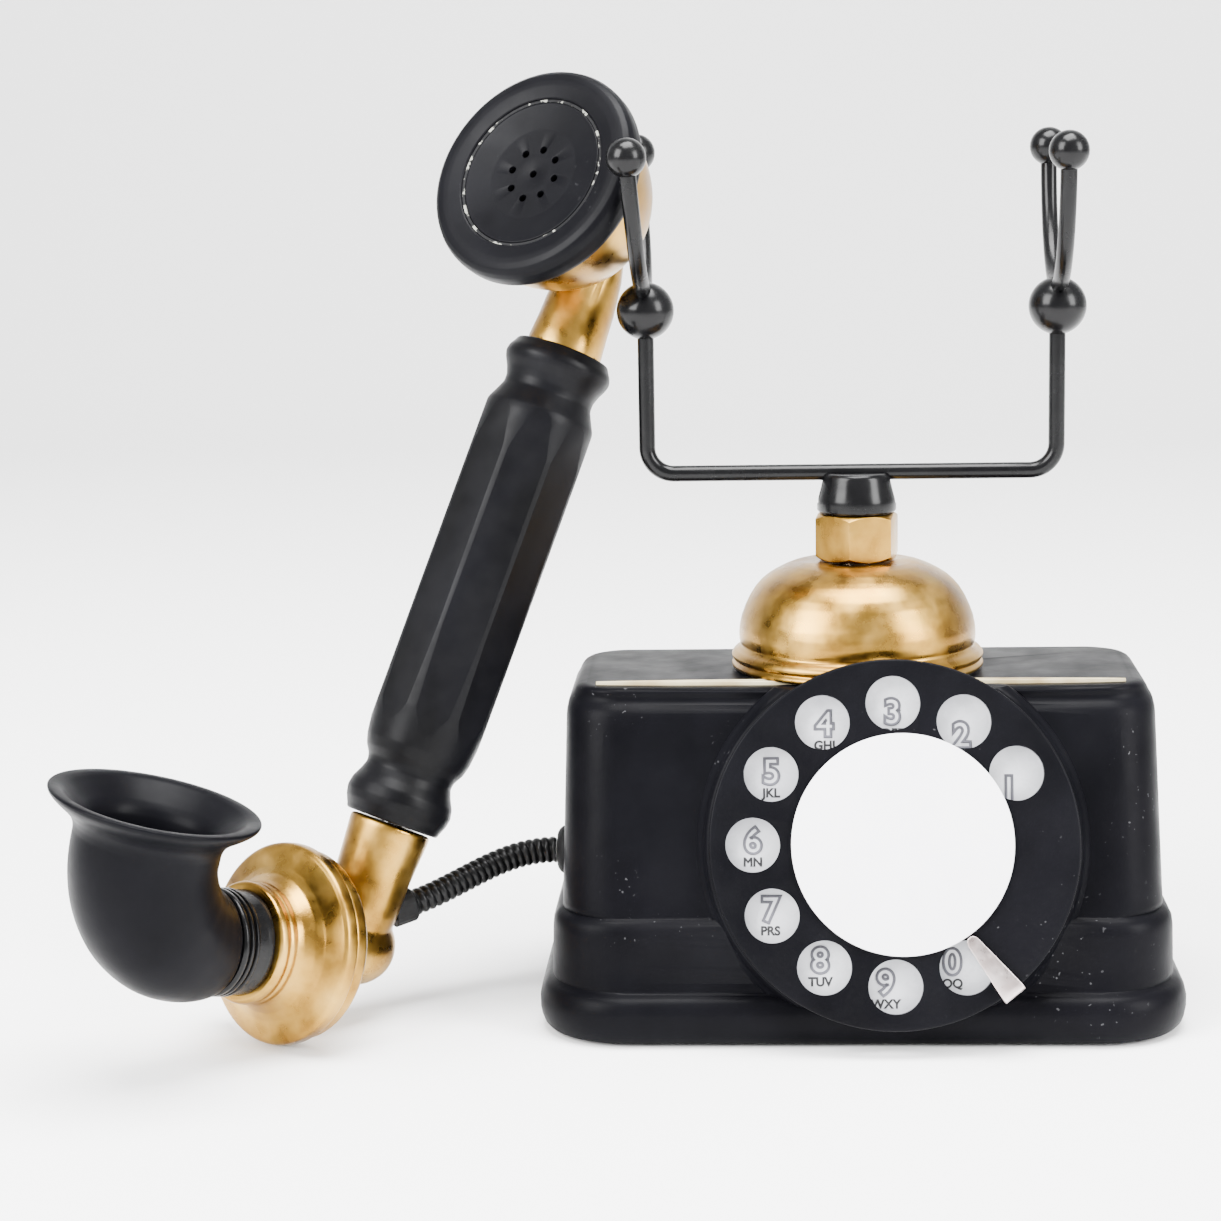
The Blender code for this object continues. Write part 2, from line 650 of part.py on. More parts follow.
def make_dial():
    front = empty("dial_axis", DIAL_MATRIX)
    bush = SPINDLE_RADIUS + RUNNING_GAP
    cup_floor = BOSS_HEIGHT + GAP - CUP_DEPTH
    flange = BOSS_HEIGHT + GAP
    cup_profile = [
        (CUP_RADIUS - CUP_WALL, flange + 1.0 * MM), (CUP_RADIUS + 4 * MM, flange + 1.0 * MM),
        (CUP_RADIUS + 4 * MM, flange), (CUP_RADIUS, flange), (CUP_RADIUS, cup_floor),
        (bush, cup_floor), (bush, cup_floor + CUP_WALL), (CUP_RADIUS - CUP_WALL, cup_floor + CUP_WALL),
    ]
    turned("dial_cup", cup_profile, STEEL, front, steps=32, closed=True)
    tube("number_plate", NUMBER_PLATE_RADIUS, bush, PLATE_LOW, PLATE_HIGH, IVORY, front, steps=36)
    wheel_profile = [
        (bush - GAP / 2, WHEEL_HIGH), (WHEEL_RADIUS - 0.5 * MM, WHEEL_HIGH),
        (WHEEL_RADIUS, WHEEL_HIGH - 0.5 * MM),
        (WHEEL_RADIUS, WHEEL_LOW), (bush - GAP / 2, WHEEL_LOW),
    ]
    wheel = turned("finger_wheel", wheel_profile, BLACK_PAINT, front, steps=48, closed=True)
    for hole in range(10):
        angle = math.radians(FIRST_HOLE_ANGLE + HOLE_PITCH * hole)
        place = Matrix.Translation(
            (FINGER_CIRCLE_RADIUS * math.cos(angle), FINGER_CIRCLE_RADIUS * math.sin(angle), 0)
        )
        punch = cylinder(
            f"finger_hole_{hole}", FINGER_HOLE_RADIUS, WHEEL_LOW - 1 * MM, WHEEL_HIGH + 1 * MM,
            parent=front, matrix=place, steps=16, helper=True,
        )
        boolean(wheel, punch, "DIFFERENCE")
    label_low = WHEEL_HIGH + GAP
    cylinder(
        "centre_label", LABEL_RADIUS, label_low, label_low + 0.6 * MM, WHITE_CARD, front,
        Matrix.Translation((LABEL_SHIFT, 0, 0)), steps=40,
    )
    cylinder(
        "dial_spindle", SPINDLE_RADIUS, cup_floor - 3 * MM, WHEEL_HIGH - 0.2 * MM, STEEL, front, steps=16
    )

    gear_low = cup_floor + 8.5 * MM
    gear = prism("dial_gear", gear_outline(GEAR_TEETH), gear_low, gear_low + 1.6 * MM, BRASS, front)
    bore = cylinder(
        "gear_bore", SPINDLE_RADIUS + GAP / 2, gear_low - 1 * MM, gear_low + 3 * MM, parent=front,
        steps=16, helper=True
    )
    boolean(gear, bore, "DIFFERENCE")

    reach = (GEAR_TEETH + PINION_TEETH) * GEAR_MODULE / 2 + 0.2 * MM
    side = math.radians(GOVERNOR_ANGLE)
    shaft_place = Matrix.Translation((reach * math.cos(side), reach * math.sin(side), 0))
    shaft_place = shaft_place @ Matrix.Rotation(side, 4, "Z")
    gear_phase = (GOVERNOR_ANGLE / (360 / GEAR_TEETH)) % 1.0
    # The pinion's gap faces the gear's tooth, so its phase answers the gear's at the line of centres.
    pinion_phase = 0.5 + PINION_TEETH / 2 + gear_phase
    pinion = prism(
        "governor_pinion", gear_outline(PINION_TEETH, pinion_phase), gear_low - 0.4 * MM, gear_low + 2 * MM,
        BRASS, front, shaft_place,
    )
    arbor = cylinder(
        "arbor_form", 1.2 * MM, cup_floor + CUP_WALL + GAP, gear_low + 5 * MM, parent=front,
        matrix=shaft_place,
        steps=12, helper=True,
    )
    boolean(pinion, arbor, "UNION")
    tube(
        "governor_weights", 6.4 * MM, 1.2 * MM + GAP, cup_floor + 2.5 * MM, cup_floor + 6.0 * MM, BRASS,
        front,
        shaft_place, steps=20,
    )

    spring_low, spring_high = gear_low + 2.4 * MM, gear_low + 4.6 * MM
    turns, points = 3.5, 14
    count = int(turns * points)
    edge = []
    for strip in (0.25 * MM, -0.25 * MM):
        side_points = []
        for i in range(count + 1):
            angle = 2 * math.pi * i / points
            radius = 3.6 * MM + 7.5 * MM * i / count + strip
            side_points.append((radius * math.cos(angle), radius * math.sin(angle)))
        edge += side_points if strip > 0 else side_points[::-1]
    prism("return_spring", edge, spring_low, spring_high, SPRING_STEEL, front)

    box(
        "pulse_contact_block", (9 * MM, -24 * MM, cup_floor + CUP_WALL + GAP),
        (17 * MM, -18 * MM, gear_low + 4 * MM),
        BAKELITE, front,
    )
    box(
        "pulse_contact_leaf", (8 * MM, -17.7 * MM, cup_floor + 4 * MM),
        (22 * MM, -17.2 * MM, cup_floor + 7 * MM),
        SPRING_STEEL, front,
    )
    make_finger_stop(front)
    return front


def make_finger_stop(front):
    """A tapered blade over the wheel, bent down over its rim to the boss."""
    blade_low = WHEEL_HIGH + 1.0 * MM
    thick = 0.9 * MM
    tip, rim = 25.6 * MM, WHEEL_RADIUS + 1.3 * MM
    foot = BOSS_HEIGHT + GAP
    # Along the blade: distance out, height of the underside, half width
    stations = (
        (rim - thick, foot, 2.7 * MM, 0.0),
        (rim - thick, blade_low - 0.6 * MM, 2.7 * MM, 0.0),
        (rim - thick - 0.4 * MM, blade_low, 2.7 * MM, 0.5),
        (rim - thick - 1.2 * MM, blade_low, 2.65 * MM, 1.0),
        (tip + 1.6 * MM, blade_low, 1.45 * MM, 1.0),
        (tip + 0.5 * MM, blade_low, 1.0 * MM, 1.0),
        (tip, blade_low, 0.5 * MM, 1.0),
    )
    rings = []
    for out, low, half, flat in stations:
        turn = math.radians(90 * flat)
        over = Vector((math.cos(turn) * thick, 0, math.sin(turn) * thick))
        under = Vector((out, 0, low))
        rings.append(
            [
                under + Vector((0, -half, 0)), under + Vector((0, half, 0)),
                under + over + Vector((0, half, 0)), under + over + Vector((0, -half, 0)),
            ]
        )
    loft("finger_stop", rings, STEEL, front, Matrix.Rotation(math.radians(STOP_ANGLE), 4, "Z"))


# ---------------------------------------------------------------- bell


def gong_outline():
    """The outside of the gong as shares of its radius and millimetres under its crown."""
    shares = (
        (0.44, 0.0), (0.585, 1.3), (0.69, 2.9), (0.765, 4.6), (0.835, 7.0), (0.895, 10.2), (0.93, 13.6),
        (0.94, 16.6), (0.925, 19.0), (0.945, 19.9), (0.99, 20.4), (1.0, 21.3), (0.975, 22.0), (0.995, 22.6),
        (1.0, 23.4), (0.985, 24.2),
    )
    squeeze = GONG_HEIGHT / (24.2 * MM)
    return [(share * GONG_RADIUS, GONG_CROWN - drop * MM * squeeze) for share, drop in shares]


def make_bell():
    outside = gong_outline()
    inside = [(max(r - GONG_WALL * 1.25, POST_RADIUS), z - GONG_WALL * 0.8) for r, z in outside[:8]]
    foot = (outside[7][0] - GONG_WALL, BELL_BASE)
    hole = POST_RADIUS + GAP
    profile = [(hole, GONG_CROWN)] + outside + [foot] + inside[::-1] + [(hole, GONG_CROWN - GONG_WALL)]
    turned("bell_gong", profile, BRASS, steps=32, closed=True)

    nut_low = GONG_CROWN + GAP
    nut_high = nut_low + BELL_NUT_HEIGHT
    corners = [math.radians(BELL_NUT_TURN - 90 + 60 * i) for i in range(6)]
    outline = [(BELL_NUT_CORNER * math.cos(a), BELL_NUT_CORNER * math.sin(a)) for a in corners]
    nut = prism("bell_nut", outline, nut_low, nut_high, BRASS)
    crown = [
        (0, nut_high + 1 * MM), (7.6 * MM, nut_high + 1 * MM), (8.4 * MM, nut_high),
        (BELL_NUT_CORNER + 0.1 * MM, nut_high - 1.2 * MM), (BELL_NUT_CORNER + 0.1 * MM, nut_low + 1.2 * MM),
        (8.4 * MM, nut_low), (7.6 * MM, nut_low - 1 * MM), (0, nut_low - 1 * MM),
    ]
    boolean(nut, turned("nut_chamfer", crown, steps=24, helper=True), "INTERSECT")
    boolean(nut, cylinder("nut_bore", hole, nut_low - 2 * MM, nut_high + 2 * MM, helper=True), "DIFFERENCE")

    # The post's upper shoulder carries the gong, and its lower flange hangs under the body's roof.
    shoulder = GONG_CROWN - GONG_WALL - GAP
    flange = BLOCK_TOP - WALL - GAP
    post = [
        (POST_BORE, nut_high - 0.5 * MM), (POST_RADIUS, nut_high - 0.5 * MM), (POST_RADIUS, shoulder),
        (POST_RADIUS + 3 * MM, shoulder), (POST_RADIUS + 3 * MM, shoulder - 3 * MM),
        (POST_RADIUS, shoulder - 3 * MM),
        (POST_RADIUS, flange), (POST_RADIUS + 4 * MM, flange), (POST_RADIUS + 4 * MM, flange - 2.5 * MM),
        (POST_RADIUS, flange - 2.5 * MM), (POST_RADIUS, flange - 8 * MM), (POST_BORE, flange - 8 * MM),
    ]
    turned("bell_post", post, STEEL, steps=20, closed=True)
    return nut_high


# ---------------------------------------------------------------- cradle


def fork_points(steps=9):
    """Half an ellipse standing on its foot, in the YZ plane, cut short to leave room for its tips."""
    points = []
    reach = math.acos((TIP_RADIUS + GAP) / FORK_HEIGHT)
    for i in range(-steps, steps + 1):
        angle = reach * i / steps
        points.append(Vector((0, FORK_HALF_SPREAD * math.sin(angle), FORK_HEIGHT * (1 - math.cos(angle)))))
    return points


def make_cradle(nut_high):
    guide_low = nut_high + GAP
    guide_high = guide_low + GUIDE_HEIGHT
    bar = guide_high
    guide_profile = [
        (0, guide_high), (GUIDE_RADIUS[1] - 0.6 * MM, guide_high), (GUIDE_RADIUS[1], guide_high - 0.6 * MM),
        (GUIDE_RADIUS[0], guide_low + 2.6 * MM), (GUIDE_RADIUS[0], guide_low), (0, guide_low),
    ]
    guide = turned("cradle_guide", guide_profile, BLACK_WIRE, steps=28)
    slot_half = WIRE_RADIUS + RUNNING_GAP
    slot_floor = bar - WIRE_RADIUS - CRADLE_TRAVEL - RUNNING_GAP
    slot_low, slot_high = (-0.02, -slot_half, slot_floor), (0.02, slot_half, guide_high + 0.01)
    slot = box("guide_slot", slot_low, slot_high, helper=True)
    boolean(guide, slot, "DIFFERENCE")
    bore = cylinder("guide_bore", POST_BORE, guide_low - 2 * MM, guide_high + 2 * MM, steps=16, helper=True)
    boolean(guide, bore, "DIFFERENCE")

    top = empty("cradle_axis", Matrix.Translation((0, 0, bar)))
    left = CRADLE_OFFSET - CRADLE_SPAN / 2
    right = CRADLE_OFFSET + CRADLE_SPAN / 2
    arm = BALL_HEIGHT - BALL_RADIUS - GAP
    corners = [(left, 0, arm), (left, 0, 0), (right, 0, 0), (right, 0, arm)]
    wire("cradle_frame", rounded_path(corners, CRADLE_BEND, 5), WIRE_RADIUS, BLACK_WIRE, top)

    rod = POST_BORE - RUNNING_GAP
    profile = [
        (0, -WIRE_RADIUS - GAP), (rod, -WIRE_RADIUS - GAP), (rod, PLUNGER_COLLAR + 1.8 * MM - bar),
        (rod + 2.4 * MM, PLUNGER_COLLAR + 1.8 * MM - bar), (rod + 2.4 * MM, PLUNGER_COLLAR - bar),
        (rod, PLUNGER_COLLAR - bar), (rod, PLUNGER_FOOT + 2 * MM - bar), (0.8 * MM, PLUNGER_FOOT - bar),
        (0, PLUNGER_FOOT - bar),
    ]
    turned("plunger_rod", profile, STEEL, top, steps=16)

    for side, x, lean in (("left", left, FORK_LEAN[0]), ("right", right, FORK_LEAN[1])):
        centre = Vector((x, 0, BALL_HEIGHT))
        joint = ball(f"cradle_ball_{side}", BALL_RADIUS, centre, BLACK_WIRE, top)
        foot = Matrix.Translation(centre) @ Matrix.Rotation(math.radians(lean), 4, "Y")
        foot = foot @ Matrix.Translation((0, 0, FORK_SEAT))
        wire(f"fork_{side}", fork_points(), WIRE_RADIUS, BLACK_WIRE, top, foot)
        seat_points = [point for point in fork_points() if abs(point.y) < 0.7 * FORK_HALF_SPREAD]
        seat = wire(f"seat_{side}", seat_points, WIRE_RADIUS + GAP, BLACK_WIRE, top, foot)
        seat = meshed(seat, helper=True)
        boolean(joint, seat, "DIFFERENCE")
        for end, sign in (("front", -1), ("rear", 1)):
            tip = foot @ Vector((0, sign * FORK_HALF_SPREAD, FORK_HEIGHT))
            ball(f"fork_tip_{side}_{end}", TIP_RADIUS, tip, BLACK_WIRE, top, 16, 10)
    return top


# ---------------------------------------------------------------- inside the body


def make_hook_switch():
    """The plunger's spring, and the lever that it pushes, on a bracket that stands on the base plate."""
    floor = PLATE_TOP + GAP
    turns, around = 5, 10
    coil_radius, coil_wire = 3.9 * MM, 0.4 * MM
    low = SPRING_SEAT + GAP + coil_wire
    high = PLUNGER_COLLAR - GAP - coil_wire
    coil = []
    for i in range(turns * around + 1):
        angle = 2 * math.pi * i / around
        height = low + (high - low) * i / (turns * around)
        coil.append((coil_radius * math.cos(angle), coil_radius * math.sin(angle), height))
    wire("plunger_spring", coil, coil_wire, SPRING_STEEL, sides=1)

    pivot = Vector((-LEVER_PIVOT_OFFSET, 0, PLUNGER_FOOT - GAP - LEVER_THICKNESS / 2))
    half_lever = 2.5 * MM
    plate_front = half_lever + 0.7 * MM
    plate_back = plate_front + PLATE_STOCK
    bracket = box(
        "hook_switch_bracket", (pivot.x - 6 * MM, plate_front, floor),
        (8 * MM, plate_back, SPRING_SEAT), STEEL
    )
    shelf = box(
        "shelf_form", (-8 * MM, -6 * MM, SPRING_SEAT - PLATE_STOCK),
        (8 * MM, plate_back - 0.1 * MM, SPRING_SEAT),
        helper=True,
    )
    foot = box(
        "bracket_foot_form", (pivot.x - 6 * MM, plate_front + 0.1 * MM, floor),
        (8 * MM, plate_back + 5 * MM, floor + PLATE_STOCK),
        helper=True,
    )
    sideways = Matrix.Translation(pivot) @ Matrix.Rotation(math.radians(-90), 4, "X")
    pin_hole = cylinder(
        "pin_hole", PIN_RADIUS + RUNNING_GAP, plate_front - 1 * MM, plate_back + 1 * MM,
        matrix=sideways, steps=16,
        helper=True,
    )
    rod_hole = cylinder(
        "rod_hole", POST_BORE, SPRING_SEAT - 4 * MM, SPRING_SEAT + 1 * MM, steps=16, helper=True
    )
    for form in (shelf, foot):
        boolean(bracket, form, "UNION")
    for form in (pin_hole, rod_hole):
        boolean(bracket, form, "DIFFERENCE")

    axis = empty("hook_lever_axis", Matrix.Translation(pivot))
    half = LEVER_THICKNESS / 2
    lever = box(
        "hook_switch_lever", (-8 * MM, -half_lever, -half),
        (LEVER_PIVOT_OFFSET + 4 * MM, half_lever, half), STEEL, axis
    )
    pin = cylinder(
        "pin_form", PIN_RADIUS, 0, plate_back + 1.5 * MM, parent=axis,
        matrix=Matrix.Rotation(math.radians(-90), 4, "X"),
        steps=16, helper=True,
    )
    boolean(lever, pin, "UNION")

    leaf_low = SPRING_SEAT - PLATE_STOCK
    box(
        "hook_switch_block", (pivot.x - 22 * MM, -5 * MM, floor),
        (pivot.x - 14 * MM, 5 * MM, leaf_low - GAP),
        BAKELITE, bevel=0.5 * MM,
    )
    box(
        "hook_switch_leaf", (pivot.x - 22 * MM, -3 * MM, leaf_low),
        (pivot.x - 5 * MM, 3 * MM, leaf_low + 0.5 * MM),
        SPRING_STEEL,
    )


def make_ringer():
    """Two coils under a rocking armature, whose striker reaches up into the gong."""
    floor = PLATE_TOP + GAP
    middle, back = ARMATURE_PIVOT.x, ARMATURE_PIVOT.y
    coil_top = ARMATURE_PIVOT.z - 2.5 * MM
    half_width = COIL_SPACING / 2 + COIL_RADIUS + 1.5 * MM
    plate_front = back + COIL_RADIUS + 1.5 * MM
    plate_back = plate_front + PLATE_STOCK
    frame = box(
        "ringer_frame", (middle - half_width, back - COIL_RADIUS - 1 * MM, floor),
        (middle + half_width, plate_back, floor + PLATE_STOCK), STEEL,
    )
    upright = box(
        "upright_form", (middle - half_width, plate_front, floor + 0.1 * MM),
        (middle + half_width, plate_back - 0.1 * MM, ARMATURE_PIVOT.z + 5 * MM), helper=True,
    )
    sideways = Matrix.Translation(ARMATURE_PIVOT) @ Matrix.Rotation(math.radians(-90), 4, "X")
    hole = cylinder(
        "armature_hole", PIN_RADIUS + RUNNING_GAP, 2 * MM, plate_back - back + 2 * MM, matrix=sideways,
        steps=16,
        helper=True,
    )
    boolean(frame, upright, "UNION")
    boolean(frame, hole, "DIFFERENCE")
    for side, sign in (("left", -1), ("right", 1)):
        place = Matrix.Translation((middle + sign * COIL_SPACING / 2, back, floor + PLATE_STOCK + GAP))
        height = coil_top - floor - PLATE_STOCK - GAP
        core, rim = COIL_RADIUS - 1 * MM, 1.5 * MM
        profile = [
            (0, height), (COIL_RADIUS, height), (COIL_RADIUS, height - rim), (core, height - rim),
            (core, rim),
            (COIL_RADIUS, rim), (COIL_RADIUS, 0), (0, 0),
        ]
        turned(f"ringer_coil_{side}", profile, COPPER, matrix=place, steps=20)

    axis = empty("striker_axis", Matrix.Translation(ARMATURE_PIVOT))
    half = COIL_SPACING / 2 + COIL_RADIUS
    armature = box("armature", (-half, -5 * MM, -1 * MM), (half, 5 * MM, 1.5 * MM), STEEL, axis)
    pin = cylinder(
        "armature_pin", PIN_RADIUS, 0, plate_back - back + 1.5 * MM, parent=axis,
        matrix=Matrix.Rotation(math.radians(-90), 4, "X"), steps=16, helper=True,
    )
    boolean(armature, pin, "UNION")
    tip = Vector((STRIKER_X, 0, BELL_BASE + 6.5 * MM)) - ARMATURE_PIVOT
    knee = Vector((tip.x, tip.y, BLOCK_TOP - 14 * MM - ARMATURE_PIVOT.z))
    rod = rounded_path([(0, 0, 1.8 * MM), (0, 0, 8 * MM), knee, tip], 5 * MM, 4)
    striker = meshed(wire("striker_rod", rod, 0.8 * MM, STEEL, axis))
    head = ball("striker_head_form", STRIKER_BALL_RADIUS, tip, None, axis, 14, 8, helper=True)
    boolean(striker, head, "UNION")


def make_fittings():
    """Terminal block and condenser on the base plate."""
    floor = PLATE_TOP + GAP
    left = -STEP_SIZE[0] / 2 + WALL
    near, far = (left + 10 * MM, -14 * MM, floor), (left + 24 * MM, 14 * MM, floor + 9 * MM)
    box("terminal_block", near, far, BAKELITE, bevel=0.8 * MM)
    box("condenser", (-22 * MM, 14 * MM, floor), (6 * MM, 29 * MM, floor + 27 * MM), CAPSULE, bevel=1 * MM)


# ---------------------------------------------------------------- handset

AXIS = (HANDSET_TOP - HANDSET_FOOT).normalized()
GRIP_MATRIX = frame_at(HANDSET_FOOT, AXIS, TRANSMITTER_NORMAL)
EAR_MATRIX = frame_at(HANDSET_TOP, RECEIVER_NORMAL, AXIS)
MOUTH_MATRIX = frame_at(HANDSET_FOOT, TRANSMITTER_NORMAL, AXIS)
GRIP_END = GRIP_START + GRIP_LENGTH


def make_grip():
    # From its upper end down: distance in from the nearer end, and share of the grip's radius
    upper = ((0.0, 0.81), (1.2, 0.85), (3.6, 0.93), (6.5, 0.86), (10.1, 0.77), (13.5, 0.86), (16.2, 0.95))
    lower = ((17.3, 0.90), (14.0, 0.82), (12.4, 0.74), (8.5, 0.84), (4.9, 0.91), (1.6, 0.86), (0.0, 0.80))
    profile = [(GRIP_RADIUS * share, GRIP_END - inset * MM) for inset, share in upper]
    profile += [(GRIP_RADIUS, GRIP_END - 26 * MM), (GRIP_RADIUS, GRIP_START + 30 * MM)]
    profile += [(GRIP_RADIUS * share, GRIP_START + inset * MM) for inset, share in lower]
    grip = turned("handle", [(0, GRIP_END)] + profile + [(0, GRIP_START)], BLACK_GRIP, None, GRIP_MATRIX, 24)
    corner = GRIP_FLATS / 2 / math.cos(math.radians(22.5))
    flats = [math.radians(22.5 + 45 * i) for i in range(8)]
    outline = [(corner * math.cos(a), corner * math.sin(a)) for a in flats]
    low, high = GRIP_START - 5 * MM, GRIP_END + 5 * MM
    boolean(grip, prism("grip_flats", outline, low, high, matrix=GRIP_MATRIX, helper=True), "INTERSECT")
    bore = cylinder("grip_bore", GRIP_BORE, low, high, matrix=GRIP_MATRIX, steps=20, helper=True)
    boolean(grip, bore, "DIFFERENCE")
    cylinder(
        "handle_rod", ROD_RADIUS, GRIP_START - ROD_GRIP, GRIP_END + ROD_GRIP, STEEL, matrix=GRIP_MATRIX,
        steps=16
    )


def rod_socket(name, low, high):
    return cylinder(name, ROD_RADIUS + GAP, low, high, matrix=GRIP_MATRIX, steps=16, helper=True)


def make_receiver():
    rim = RECEIVER_FRONT - CAP_THICKNESS - GAP
    depth = rim - SHELL_BACK
    ellipse = [math.radians(a) for a in range(0, 90, 9)]
    cavity_floor = rim - CAPSULE_DEPTH - 2 * GAP
    inner = CAPSULE_RADIUS + GAP
    profile = [(0, cavity_floor), (inner, cavity_floor), (inner, rim)]
    profile += [(SHELL_RADIUS * math.cos(a), rim - depth * math.sin(a)) for a in ellipse] + [(0, SHELL_BACK)]
    shell = turned("receiver_shell", profile, BRASS, matrix=EAR_MATRIX, steps=28)
    length = (HANDSET_TOP - HANDSET_FOOT).length
    neck = [
        (0, length + 1 * MM), (NECK_RADIUS * 0.55, length + 1 * MM), (NECK_RADIUS * 0.66, length - 2 * MM),
        (NECK_RADIUS * 0.86, length - 9 * MM), (NECK_RADIUS, length - 20 * MM),
        (NECK_RADIUS * 1.04, GRIP_END + GAP), (0, GRIP_END + GAP),
    ]
    boolean(shell, turned("upper_neck_form", neck, matrix=GRIP_MATRIX, steps=28, helper=True), "UNION")
    boolean(shell, rod_socket("upper_socket", GRIP_END - 2 * MM, GRIP_END + ROD_GRIP + GAP), "DIFFERENCE")
    turned(
        "receiver_capsule",
        [(0, rim - GAP), (CAPSULE_RADIUS, rim - GAP), (CAPSULE_RADIUS, rim - 3 * MM),
         (CAPSULE_RADIUS - 1.5 * MM, rim - 4 * MM), (CAPSULE_RADIUS - 1.5 * MM, rim - CAPSULE_DEPTH),
         (0, rim - CAPSULE_DEPTH)],
        CAPSULE, matrix=EAR_MATRIX, steps=28,
    )
    back = RECEIVER_FRONT - CAP_THICKNESS
    front = RECEIVER_FRONT
    groove = 0.69 * RECEIVER_RADIUS
    cap = [
        (0, front - 1.8 * MM), (9 * MM, front - 1.7 * MM), (groove - 1 * MM, front - 0.7 * MM),
        (groove - 0.5 * MM, front - 1.0 * MM), (groove + 0.3 * MM, front - 1.0 * MM),
        (groove + 0.8 * MM, front - 0.4 * MM),
        (RECEIVER_RADIUS - 4 * MM, front), (RECEIVER_RADIUS - 1.5 * MM, front - 0.2 * MM),
        (RECEIVER_RADIUS - 0.3 * MM, front - 1.4 * MM), (RECEIVER_RADIUS, front - 3.0 * MM),
        (RECEIVER_RADIUS, back + 1.0 * MM), (RECEIVER_RADIUS - 0.8 * MM, back), (0, back),
    ]
    ear_cap = turned("ear_cap", cap, BLACK_PAINT, matrix=EAR_MATRIX, steps=32)
    for hole in range(9):
        angle = math.radians(45 * hole)
        out = 0 if hole == 8 else 6 * MM
        place = EAR_MATRIX @ Matrix.Translation((out * math.cos(angle), out * math.sin(angle), 0))
        drill = cylinder(
            f"ear_hole_{hole}", 0.9 * MM, back - 1 * MM, front + 1 * MM, matrix=place, steps=8, helper=True
        )
        boolean(ear_cap, drill, "DIFFERENCE")


def outlet_matrix():
    """Where the cord leaves the lower neck: Z is its way out."""
    return frame_at(HANDSET_FOOT + AXIS * OUTLET_UP_NECK, OUTLET_DIRECTION)


def make_transmitter():
    neck = [
        (0, GRIP_START - GAP), (NECK_RADIUS * 1.12, GRIP_START - GAP),
        (NECK_RADIUS * 1.11, GRIP_START - 2 * MM),
        (NECK_RADIUS * 1.03, 17 * MM), (NECK_RADIUS * 1.03, 9 * MM), (NECK_RADIUS * 0.97, 4 * MM),
        (NECK_RADIUS * 0.97, -3 * MM), (0, -3 * MM),
    ]
    yoke = turned("lower_yoke", neck, BRASS, None, GRIP_MATRIX, 28)
    front = CASE_BACK - GAP
    barrel = [
        (0, front), (BARREL_RADIUS, front), (BARREL_RADIUS, 0), (BARREL_RADIUS * 0.97, BARREL_BACK * 0.35),
        (BARREL_RADIUS * 0.87, BARREL_BACK * 0.62), (BARREL_RADIUS * 0.64, BARREL_BACK * 0.86),
        (BARREL_RADIUS * 0.33, BARREL_BACK * 0.97), (0, BARREL_BACK),
    ]
    boolean(yoke, turned("barrel_form", barrel, matrix=MOUTH_MATRIX, steps=28, helper=True), "UNION")
    outlet = outlet_matrix()
    socket = cylinder(
        "outlet_socket", FERRULE_RADIUS + GAP, OUTLET_SOCKET, OUTLET_SOCKET + 20 * MM, matrix=outlet,
        steps=20,
        helper=True,
    )
    boolean(yoke, socket, "DIFFERENCE")
    boolean(yoke, rod_socket("lower_socket", GRIP_START - ROD_GRIP - GAP, GRIP_START + 2 * MM), "DIFFERENCE")

    case_top = CASE_BACK + CASE_DEPTH
    cavity = CAPSULE_RADIUS + GAP
    case = [
        (cavity, case_top), (CASE_RADIUS, case_top), (CASE_RADIUS, CASE_BACK + 1.4 * MM),
        (CASE_RADIUS - 1.6 * MM, CASE_BACK), (4 * MM, CASE_BACK), (4 * MM, CASE_BACK + 1.6 * MM),
        (cavity, CASE_BACK + 1.6 * MM),
    ]
    turned("transmitter_case", case, BRASS, matrix=MOUTH_MATRIX, steps=32, closed=True)
    disc_back = case_top + GAP
    capsule_low = CASE_BACK + 1.6 * MM + GAP
    capsule_high = DISC_FRONT
    turned(
        "transmitter_capsule",
        [(0, capsule_high), (CAPSULE_RADIUS - 2 * MM, capsule_high),
        (CAPSULE_RADIUS, capsule_high - 1.5 * MM),
         (CAPSULE_RADIUS, capsule_low), (0, capsule_low)],
        CAPSULE, matrix=MOUTH_MATRIX, steps=28,
    )
    cone = DISC_FRONT + 1.2 * MM
    boss_radius = COLLAR_RADIUS + 1.6 * MM
    disc = [
        (MOUTH_BORE, BOSS_TOP), (boss_radius - 0.6 * MM, BOSS_TOP), (boss_radius, BOSS_TOP - 0.8 * MM),
        (boss_radius + 0.3 * MM, BOSS_TOP - 2.6 * MM), (boss_radius + 0.4 * MM, BOSS_TOP - 5.5 * MM),
        (boss_radius + 2.0 * MM, cone + 1.0 * MM), (boss_radius + 4.5 * MM, cone),
        (DISC_RADIUS - 0.9 * MM, DISC_FRONT),
        (DISC_RADIUS, DISC_FRONT - 0.8 * MM), (DISC_RADIUS, disc_back), (cavity, disc_back),
        (cavity, DISC_FRONT + GAP), (MOUTH_BORE, DISC_FRONT + GAP),
    ]
    turned("transmitter_front", disc, BRASS, matrix=MOUTH_MATRIX, steps=32, closed=True)

    low = BOSS_TOP + GAP
    ridge = 0.6 * MM
    collar = [(MOUTH_BORE, low + COLLAR_LENGTH), (COLLAR_RADIUS, low + COLLAR_LENGTH)]
    for thread in range(3):
        height = low + COLLAR_LENGTH - (1.2 + 1.4 * thread) * MM
        collar += [(COLLAR_RADIUS, height), (COLLAR_RADIUS - ridge, height - 0.4 * MM)]
        collar += [(COLLAR_RADIUS, height - 0.8 * MM)]
    collar += [(COLLAR_RADIUS, low), (MOUTH_BORE, low)]
    turned("horn_collar", collar, BLACK_GRIP, matrix=MOUTH_MATRIX, steps=24, closed=True)
    make_horn(low + COLLAR_LENGTH + GAP)


